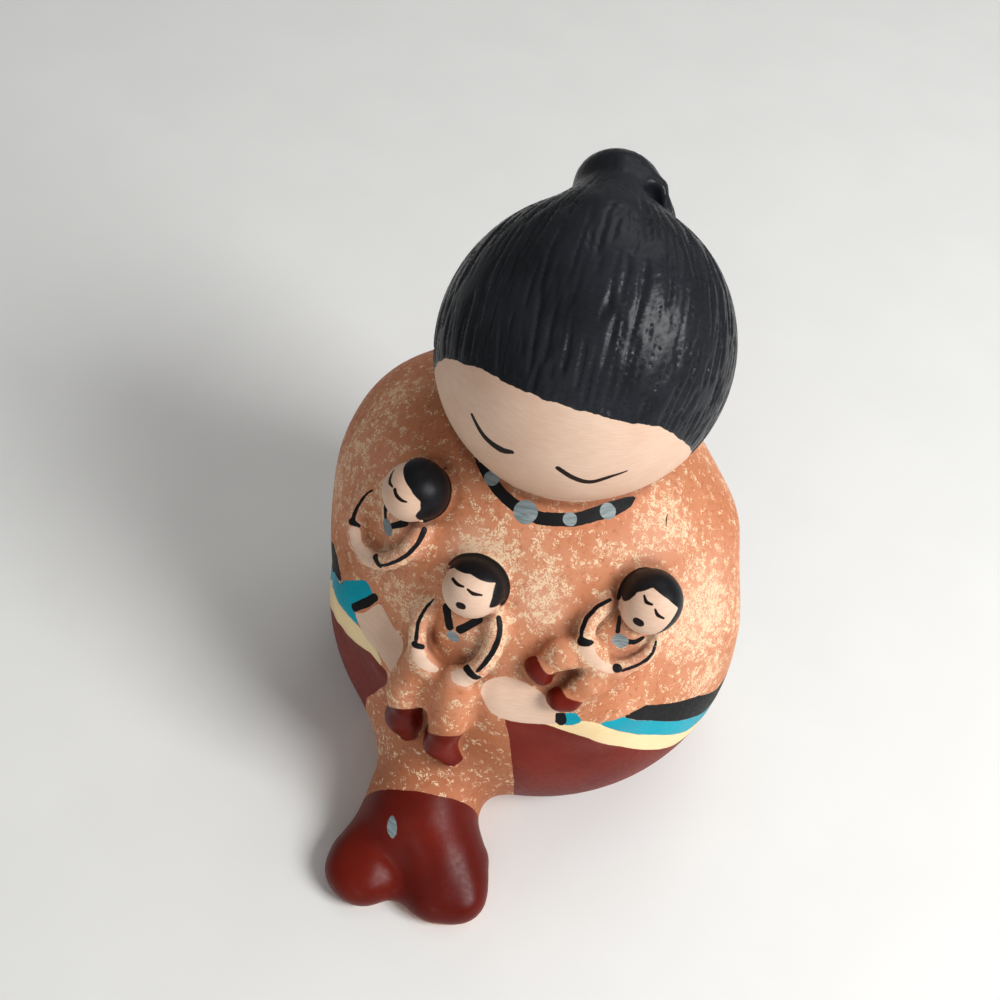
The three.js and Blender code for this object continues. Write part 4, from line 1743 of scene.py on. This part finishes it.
@dataclass(frozen=True)
class PaintedClay:
    """Fired clay washed with terracotta, dabbed with a dry cream sponge, painted over, and darkened
    brown in its creases with stain and painted shade.

    Finenesses are scales of noise over the figure in millimetres.
    """

    clay: Triple = (0.77, 0.49, 0.34)
    clay_dark: Triple = (0.63, 0.36, 0.23)
    clay_warm: Triple = (0.83, 0.57, 0.43)
    veil: Triple = (0.90, 0.68, 0.57)
    # Brown of the creases and hollows: partly stain, partly painted shade where other clay closes round
    # the surface.
    stain_and_shade: Triple = (0.36, 0.18, 0.11)
    fleck: Triple = (0.93, 0.81, 0.67)
    clay_roughness: float = 0.6
    shine: float = 0.15
    edge: float = 0.06
    detail: float = 3
    broad: float = 0.06
    fine: float = 0.9
    grain: float = 3.5
    crumb: float = 1.6
    curls: tuple[Pair, ...] = ((0.85, 1.1), (1.4, 0.8))
    curl_detail: float = 1.2
    curl_rims: Pair = (0.052, 0.028)
    curl_growth: float = 0.02
    patches: Pair = (0.46, 0.82)
    sponge_pull: float = 0.3
    gaps: float = 0.5
    gap_shift: Triple = (40, 9, 5)
    gap_fill: float = 0.17
    gap_rims: Pair = (0.58, 0.64)
    crumb_height: float = 1.6
    rubbed: tuple[float, ...] = (0.8, 1.15, 0, 0.7)
    warmed: Pair = (0.35, 0.65)
    darkened: tuple[float, ...] = (0.5, 0.75, 0, 0.5)
    veiled: tuple[float, ...] = (0.1, 0.9, 0, 0.55)
    # Darker clay where the sponge cover falls below nothing, low at the front of the legs.
    legs_darkening_range: tuple[float, ...] = (0, -0.35, 0, 0.55)
    stain_and_shade_range: Pair = (0.12, 0.75)
    stain_and_shade_cover: float = 0.75
    streak_scale: Triple = (0.35, 0.35, 3.2)
    patchy: Pair = (0.3, 0.7)
    uneven_shine: float = 0.05
    grain_height: float = 0.12
    fleck_height: float = 0.25
    coat_height: float = 0.1
    streak_height: float = 0.2
    bump_strength: float = 0.35
    bump_depth: float = 0.0003

    def flecks(self, wiring: Wiring, spot: object, broad: object) -> Socket:
        """Cover of the sponge marks: thin curls, in patches.

        Args:
            wiring: the material's tree.
            spot: place on the figure in millimetres.
            broad: broad noise, which the patches go by.

        Returns:
            Cover between 0 and 1.
        """
        sponge = wiring.read("sponge")
        pulled = wiring.plus(broad, wiring.times(sponge, self.sponge_pull))
        cover = wiring.spread(pulled, *self.patches)
        marks = []
        for scale, twist in self.curls:
            noise = wiring.noise(spot, scale, self.curl_detail, twist)
            off = wiring.reckon("ABSOLUTE", wiring.plus(noise, -0.5))
            thick = wiring.reckon("SUBTRACT", off, wiring.times(cover, self.curl_growth))
            curl = wiring.spread(thick, *self.curl_rims)
            across, *others = self.gap_shift
            place = wiring.moved(spot, Location=(across * scale, *others))
            some = wiring.plus(wiring.noise(place, self.gaps), wiring.times(cover, self.gap_fill))
            marks.append(wiring.times(curl, wiring.spread(some, *self.gap_rims)))
        crumbs = wiring.plus(wiring.noise(spot, self.crumb, self.detail), -0.5)
        dabbed = wiring.plus(sponge, wiring.times(crumbs, self.crumb_height))
        rubbed = wiring.spread(dabbed, *self.rubbed)
        return wiring.reckon("MAXIMUM", wiring.reckon("MAXIMUM", *marks), rubbed)

    def material(self) -> bpy.types.Material:
        """Make the material.

        Returns:
            One material for the whole figure, which goes by what its skin carries.
        """
        material = bpy.data.materials.new("painted_clay")
        material.use_nodes = True
        wiring = Wiring(material.node_tree)
        millimetres = (1 / MILLIMETRE,) * 3
        spot = wiring.moved(wiring.node("ShaderNodeTexCoord").outputs["Object"], Scale=millimetres)
        broad, fine, grain = (
            wiring.noise(spot, scale, self.detail) for scale in (self.broad, self.fine, self.grain)
        )
        sponge = wiring.read("sponge")
        colour = linear(self.clay)
        for share, tone in (
            (wiring.spread(broad, *self.warmed), self.clay_warm),
            (wiring.spread(fine, *self.darkened), self.clay_dark),
            (wiring.spread(sponge, *self.veiled), self.veil),
            (wiring.spread(sponge, *self.legs_darkening_range), self.clay_dark),
        ):
            colour = wiring.mixed(share, colour, linear(tone))
        fleck = self.flecks(wiring, spot, broad)
        colour = wiring.mixed(fleck, colour, linear(self.fleck))
        # Painted shade, with some stain: brown darkening in creases, round the children's heads and
        # wherever other clay closes in.
        shade_depth = wiring.spread(wiring.read("crevice_shade_and_stain"), *self.stain_and_shade_range)
        colour = wiring.mixed(wiring.times(shade_depth, self.stain_and_shade_cover), colour, linear(self.stain_and_shade))
        roughness: object = self.clay_roughness
        streaks = wiring.noise(wiring.moved(spot, Scale=self.streak_scale), 1)
        patchy = [wiring.spread(noise, *self.patchy) for noise in (broad, streaks)]
        height = wiring.plus(
            wiring.times(grain, self.grain_height), wiring.times(fleck, self.fleck_height)
        )
        for paint in PAINTS:
            ragged = wiring.noise(spot, 2 / paint.wobble_size, self.detail)
            wobble = wiring.times(wiring.plus(ragged, -0.5), 2 * paint.wobble)
            off = wiring.plus(wiring.read(paint.layer.value), wobble)
            cover = wiring.spread(off, self.edge, -self.edge)
            brushed = wiring.between(paint.streak, *patchy)
            tone = wiring.mixed(brushed, linear(paint.colour), linear(paint.shade))
            colour = wiring.mixed(cover, colour, tone)
            roughness = wiring.between(cover, roughness, paint.roughness)
            brushing = self.coat_height + self.streak_height * paint.streak
            height = wiring.between(cover, height, wiring.times(streaks, brushing))
        bump = {"Height": height, "Strength": self.bump_strength, "Distance": self.bump_depth}
        uneven = wiring.spread(fine, *self.patchy, -self.uneven_shine, self.uneven_shine)
        look = {
            "Base Color": colour,
            "Roughness": wiring.plus(roughness, uneven),
            "Normal": wiring.node("ShaderNodeBump", bump).outputs[0],
            "Specular IOR Level": self.shine,
        }
        shader = wiring.node("ShaderNodeBsdfPrincipled", look).outputs[0]
        wiring.end("ShaderNodeOutputMaterial", shader)
        return material


@dataclass(frozen=True)
class Comb:
    """Grooves drawn through the hair while the clay was wet, all running to the knot."""

    depth: float = 0.00045
    strands: float = 23
    length: float = 2.6
    seed: float = 3
    grooves: tuple[Triple, ...] = ((1.0, 0.5, 0.66), (2.1, 0.52, 0.7))
    head_spare: float = 0.8
    onset: float = 1.2
    knot_radius: float = 6
    knot_fade: float = 16
    knot_share: float = 0.25

    def share(self, figure: Figure, points: Array, hair: Array) -> Array:
        """How deep the comb went, less at the edge of the hair and least on the knot.

        Args:
            figure: whose head is combed.
            points: points of the skin.
            hair: distances to the hair.

        Returns:
            A share of the full depth for each point.
        """
        on_head = figure.head.distance(points) < self.head_spare
        deep = np.clip(-hair / self.onset, 0, 1)
        off_knot = length(points - figure.singer.knot_spot()) - self.knot_radius
        return deep * on_head * np.clip(off_knot / self.knot_fade, self.knot_share, 1)

    def ways(self, figure: Figure, points: Array) -> Array:
        """Where each point lies across and along the strands.

        Args:
            figure: whose head is combed.
            points: points of the skin.

        Returns:
            Rows of two coordinates round the knot and one towards it.
        """
        singer = figure.singer
        middle = singer.head_middle()
        axis = singer.knot_spot() - middle
        axis = axis / np.linalg.norm(axis)
        side = np.cross(axis, (1, 0, 0))
        side = side / np.linalg.norm(side)
        other = np.cross(axis, side)
        offset = points - middle
        offset = offset / length(offset)[:, None]
        along = np.arccos(np.clip(offset @ axis, -1, 1))
        around = np.arctan2(offset @ other, offset @ side)
        across = self.strands * np.cos(around), self.strands * np.sin(around)
        return np.stack([*across, self.length * along], 1)

    def tree(self) -> bpy.types.NodeTree:
        """Build the tree that presses the grooves into the skin.

        Returns:
            A tree with named inputs for depth, fineness, seed and material.
        """
        tree = bpy.data.node_groups.new("comb_grooves", "GeometryNodeTree")
        wiring = Wiring(tree)
        sockets = (
            ("Skin", "INPUT", "NodeSocketGeometry"),
            ("Depth", "INPUT", "NodeSocketFloat"),
            ("Fineness", "INPUT", "NodeSocketFloat"),
            ("Seed", "INPUT", "NodeSocketFloat"),
            ("Clay", "INPUT", "NodeSocketMaterial"),
            ("Combed", "OUTPUT", "NodeSocketGeometry"),
        )
        for name, way, kind in sockets:
            tree.interface.new_socket(name, in_out=way, socket_type=kind)
        given = wiring.node("NodeGroupInput").outputs
        ways, share = (
            wiring.node("GeometryNodeInputNamedAttribute", {"Name": name}, data_type=kind).outputs[0]
            for name, kind in (("comb_way", "FLOAT_VECTOR"), ("comb_share", "FLOAT"))
        )
        grooves = []
        for scale, low, high in self.grooves:
            fineness = wiring.times(given["Fineness"], scale)
            inputs = {"Vector": ways, "Scale": fineness, "Detail": 1.0, "W": given["Seed"]}
            noise = wiring.node("ShaderNodeTexNoise", inputs, noise_dimensions="4D").outputs["Fac"]
            grooves.append(wiring.reckon("DIVIDE", wiring.spread(noise, low, high), scale))
        depth = wiring.times(wiring.times(wiring.plus(*grooves), share), given["Depth"])
        inward = {
            0: wiring.node("GeometryNodeInputNormal").outputs[0],
            "Scale": wiring.times(depth, -1.0),
        }
        offset = wiring.node("ShaderNodeVectorMath", inward, operation="SCALE").outputs[0]
        moved = {"Geometry": given["Skin"], "Offset": offset}
        combed = wiring.node("GeometryNodeSetPosition", moved).outputs[0]
        real = wiring.node("GeometryNodeRealizeInstances", {0: combed}).outputs[0]
        coated = {"Geometry": real, "Material": given["Clay"]}
        wiring.end("NodeGroupOutput", wiring.node("GeometryNodeSetMaterial", coated).outputs[0])
        return tree

    def through(self, piece: bpy.types.Object, clay: bpy.types.Material) -> None:
        """Comb a piece and leave it a plain mesh.

        Args:
            piece: the piece, with its strand coordinates on its skin.
            clay: its material.
        """
        modifier = piece.modifiers.new("comb_grooves", "NODES")
        modifier.node_group = self.tree()
        values = {"Depth": self.depth, "Fineness": 1.0, "Seed": self.seed, "Clay": clay}
        for item in modifier.node_group.interface.items_tree:
            if item.name in values:
                modifier[item.identifier] = values[item.name]
        bpy.context.view_layer.update()
        evaluated = piece.evaluated_get(bpy.context.evaluated_depsgraph_get())
        mesh = bpy.data.meshes.new_from_object(evaluated)
        plain = piece.data
        piece.modifiers.remove(modifier)
        piece.data = mesh
        bpy.data.meshes.remove(plain)


def shown(name: str, data: bpy.types.ID) -> bpy.types.Object:
    """Put a mesh, a light or a camera into the scene."""
    thing = bpy.data.objects.new(name, data)
    bpy.context.scene.collection.objects.link(thing)
    return thing


def stood(thing: bpy.types.Object, turn: Array, place: Array) -> None:
    """Turn a thing and stand it at its place, in metres."""
    pose = np.eye(4)
    pose[:3, :3] = turn
    pose[:3, 3] = place
    thing.matrix_world = Matrix(pose.tolist())


@dataclass
class ClayFigure:
    """The figure as a Blender piece: its skin, its coats of paint and its finish."""

    figure: Figure
    painting: Painting
    comb: Comb
    clay: PaintedClay
    low_corner: Triple = (-56, -82, -4)
    high_corner: Triple = (54, 52, 148)
    grid: float = 1.15
    rounds: int = 3
    plain_edge: float = 1.6
    hair_edge: float = 0.62
    child_edge: float = 0.54
    crease_edge: float = 0.7
    line_edge: float = 0.26
    child_margin: float = 0.6
    line_margin: float = 0.2
    # How far the sponge cover is lowered low at the front of the legs, which makes the clay darker
    # there.
    legs_darkening: float = 0.35
    legs_from: Pair = (50, -34)
    legs_fade: Pair = (14, 6)
    arm_sponge: float = 0.72
    arm_blend: float = 0.5
    child_sponge: tuple[Triple, float, float] = ((2, -3, 2), 7, 0.62)
    sponge_spots: tuple[tuple[Triple, float, float], ...] = (
        ((-12, -26, 79), 7, 1.0),
        ((5, -31, 75), 7, 0.8),
        ((38, -14, 66), 17, 0.8),
        ((23, -10, 82), 10, 0.7),
        ((-34, -8, 76), 13, 0.6),
    )

    def goals(self, points: Array) -> Array:
        """Edge length that each part of the skin needs, longer away from fine work.

        Args:
            points: points of the skin.

        Returns:
            One length a point.
        """
        gentle, steep = 0.3, 0.35
        coats = self.painting.coats(points)
        off_head = self.figure.head.distance(points)
        off_held = self.figure.held.distance(points)
        on_hair = np.maximum(coats[Layer.HAIR], off_head)
        crease = np.maximum(np.abs(off_held), np.abs(off_head))
        needs = [(self.hair_edge, gentle, on_hair), (self.crease_edge, steep, crease)]
        for seated in self.figure.children:
            off_child = seated.body.distance(points) - self.child_margin
            needs.append((self.child_edge, steep, off_child))
        for layer in (Layer.LINE, Layer.SILVER):
            needs.append((self.line_edge, gentle, coats[layer] - self.line_margin))
        goal = np.full(len(points), self.plain_edge)
        for edge, growth, off in needs:
            goal = np.minimum(goal, edge + growth * np.maximum(off, 0))
        return goal

    def skin(self) -> Skin:
        """Draw the skin and make it finer where it needs it."""
        skin = Skin.drawn(self.figure.whole, self.low_corner, self.high_corner, self.grid)
        skin.relax(share=0.5, rounds=2)
        for _ in range(self.rounds):
            skin.split(self.goals(skin.points))
            skin.relax(share=0.4, rounds=2)
        return skin

    def sponge(self, points: Array) -> Array:
        """Sponge cover at each point, dipping below nothing low at the front of the legs."""
        cover = np.zeros(len(points))
        spots = list(self.sponge_spots)
        offset, radius, strength = self.child_sponge
        for seated in self.figure.children:
            spots.append((tuple(seated.pose.outward(offset)), radius, strength))
        for spot, radius, strength in spots:
            away = length(points - np.array(spot)) / radius
            cover = np.maximum(cover, strength * np.exp(-away * away))
        for seated in self.figure.children:
            arms = Joined(self.arm_blend, tuple(arm.form() for arm in seated.child.arms))
            away = np.maximum(Placed(arms, seated.pose).distance(points), 0)
            cover = np.maximum(cover, self.arm_sponge * np.exp(-away * away))
        (top, front), (down, forward) = self.legs_from, self.legs_fade
        low = np.clip((top - points[:, 2]) / down, 0, 1)
        before = np.clip((front - points[:, 1]) / forward, 0, 1)
        return cover - self.legs_darkening * (low * before)

    def build(self) -> bpy.types.Object:
        """Make the piece.

        Returns:
            The finished piece, not yet riding on its body.
        """
        skin = self.skin()
        points = skin.points
        coats = self.painting.coats(points)
        values = {layer.value: np.clip(off, -KEPT, KEPT) for layer, off in coats.items()}
        values["crevice_shade_and_stain"] = skin.shade_depths()
        values["sponge"] = self.sponge(points)
        values["comb_share"] = self.comb.share(self.figure, points, coats[Layer.HAIR])
        mesh = bpy.data.meshes.new("painted_figure")
        placed = (points + np.array(BODY_AXIS)) * MILLIMETRE
        mesh.from_pydata(placed.tolist(), [], skin.faces.tolist())
        mesh.validate()
        for name, value in values.items():
            attribute = mesh.attributes.new(name, "FLOAT", "POINT")
            attribute.data.foreach_set("value", value.astype(np.float32))
        ways = mesh.attributes.new("comb_way", "FLOAT_VECTOR", "POINT")
        combed = self.comb.ways(self.figure, points).astype(np.float32)
        ways.data.foreach_set("vector", combed.ravel())
        mesh.shade_smooth()
        piece = shown("painted_figure", mesh)
        self.comb.through(piece, self.clay.material())
        log.info("%s: %d triangles", piece.name, len(piece.data.polygons))
        return piece


@dataclass(frozen=True)
class Table:
    """The pale table that the figure stands on."""

    width: float = 6
    colour: Triple = (0.93, 0.93, 0.92)
    mottle: float = 0.99
    mottle_fineness: float = 30
    roughness: float = 0.8
    drop: float = 0.0001

    def build(self) -> bpy.types.Object:
        """Make the table top with a faint mottle."""
        half = self.width / 2
        mesh = bpy.data.meshes.new("table")
        corners = [(-half, -half), (half, -half), (half, half), (-half, half)]
        mesh.from_pydata([(x, y, -self.drop) for x, y in corners], [], [(0, 1, 2, 3)])
        table = shown("table", mesh)
        material = bpy.data.materials.new("pale_table")
        material.use_nodes = True
        wiring = Wiring(material.node_tree)
        spot = wiring.node("ShaderNodeTexCoord").outputs["Object"]
        share = wiring.spread(wiring.noise(spot, self.mottle_fineness, 3), 0.3, 0.7)
        pale = np.array(self.colour)
        colour = wiring.mixed(share, linear(tuple(pale)), linear(tuple(pale * self.mottle)))
        look = {"Base Color": colour, "Roughness": self.roughness}
        shader = wiring.node("ShaderNodeBsdfPrincipled", look).outputs[0]
        wiring.end("ShaderNodeOutputMaterial", shader)
        mesh.materials.append(material)
        table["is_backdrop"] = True
        log.info("table: %.1f m wide", self.width)
        return table


@dataclass(frozen=True)
class Lamp:
    """A soft box light, by where it stands round its aim, its size and its power."""

    name: str
    around: float
    up: float
    away: float
    width: float
    power: float
    aim: Triple = (0, 0, 0.06)

    def build(self) -> bpy.types.Object:
        """Make the light, turned to its aim in the middle of the figure."""
        light = bpy.data.lights.new(self.name, "AREA")
        light.shape = "SQUARE"
        light.size = self.width
        light.energy = self.power
        lamp = shown(self.name, light)
        turn = rotation("z", self.around) @ rotation("x", 90 - self.up)
        stood(lamp, turn, np.array(self.aim) + turn @ (0, 0, self.away))
        return lamp


@dataclass(frozen=True)
class Studio:
    """Plain soft studio light."""

    sky: float = 0.25
    lamps: tuple[Lamp, ...] = (
        Lamp("key_light", 75, 41, 0.8, 0.36, 6.2),
        Lamp("fill_light", -12, 32, 0.9, 0.5, 0.4),
        Lamp("low_light", 6, 9, 0.8, 0.07, 0.35),
        Lamp("back_light", 160, 55, 0.9, 0.6, 1.6),
    )

    def build(self) -> None:
        """Make the lamps and the pale surroundings."""
        for lamp in self.lamps:
            lamp.build()
        world = bpy.data.worlds.new("studio")
        world.use_nodes = True
        wiring = Wiring(world.node_tree)
        sky = {"Color": (1, 1, 1, 1), "Strength": self.sky}
        wiring.end("ShaderNodeOutputWorld", wiring.node("ShaderNodeBackground", sky).outputs[0])
        bpy.context.scene.world = world
        log.info("studio: %d lamps", len(self.lamps))


@dataclass(frozen=True)
class Viewpoint:
    """Where the photograph was taken from, as seen from the figure."""

    around: float = 8
    up: float = 52
    roll: float = 10
    place: Triple = (13.42, -184.16, 303.42)
    focal: float = 1.326
    sensor: float = 36

    def build(self) -> bpy.types.Object:
        """Make the camera and look through it."""
        data = bpy.data.cameras.new("camera")
        data.sensor_width = self.sensor
        data.lens = self.focal * self.sensor
        data.clip_start = 0.01
        camera = shown("camera", data)
        turn = rotation("z", self.around) @ rotation("x", 90 - self.up) @ rotation("z", self.roll)
        stood(camera, turn, (np.array(self.place) + np.array(BODY_AXIS)) * MILLIMETRE)
        bpy.context.scene.camera = camera
        bpy.context.scene.view_settings.view_transform = "Standard"
        return camera


def write_sizes() -> None:
    """Work out the box of the solids and the box of what is shown, as plain lists, without writing them
    anywhere.
    """
    boxes = {"cad": cad_box, "visual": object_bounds()}
    plain = {name: [list(corner) for corner in corners] for name, corners in boxes.items()}


def main() -> None:
    """Build the stage, the camera and the figure."""
    logging.basicConfig(level=logging.INFO, format="%(name)s: %(message)s")
    Viewpoint().build()
    Table().build()
    Studio().build()
    figure = Figure.made(Singer(), CHILDREN)
    painting = Painting(figure, SingerPaint(), CHILD_PAINT)
    piece = ClayFigure(figure, painting, Comb(), PaintedClay()).build()
    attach(piece, "root")
    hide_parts(FIGURE_NODE)
    write_sizes()


if __name__ == "__main__":
    main()
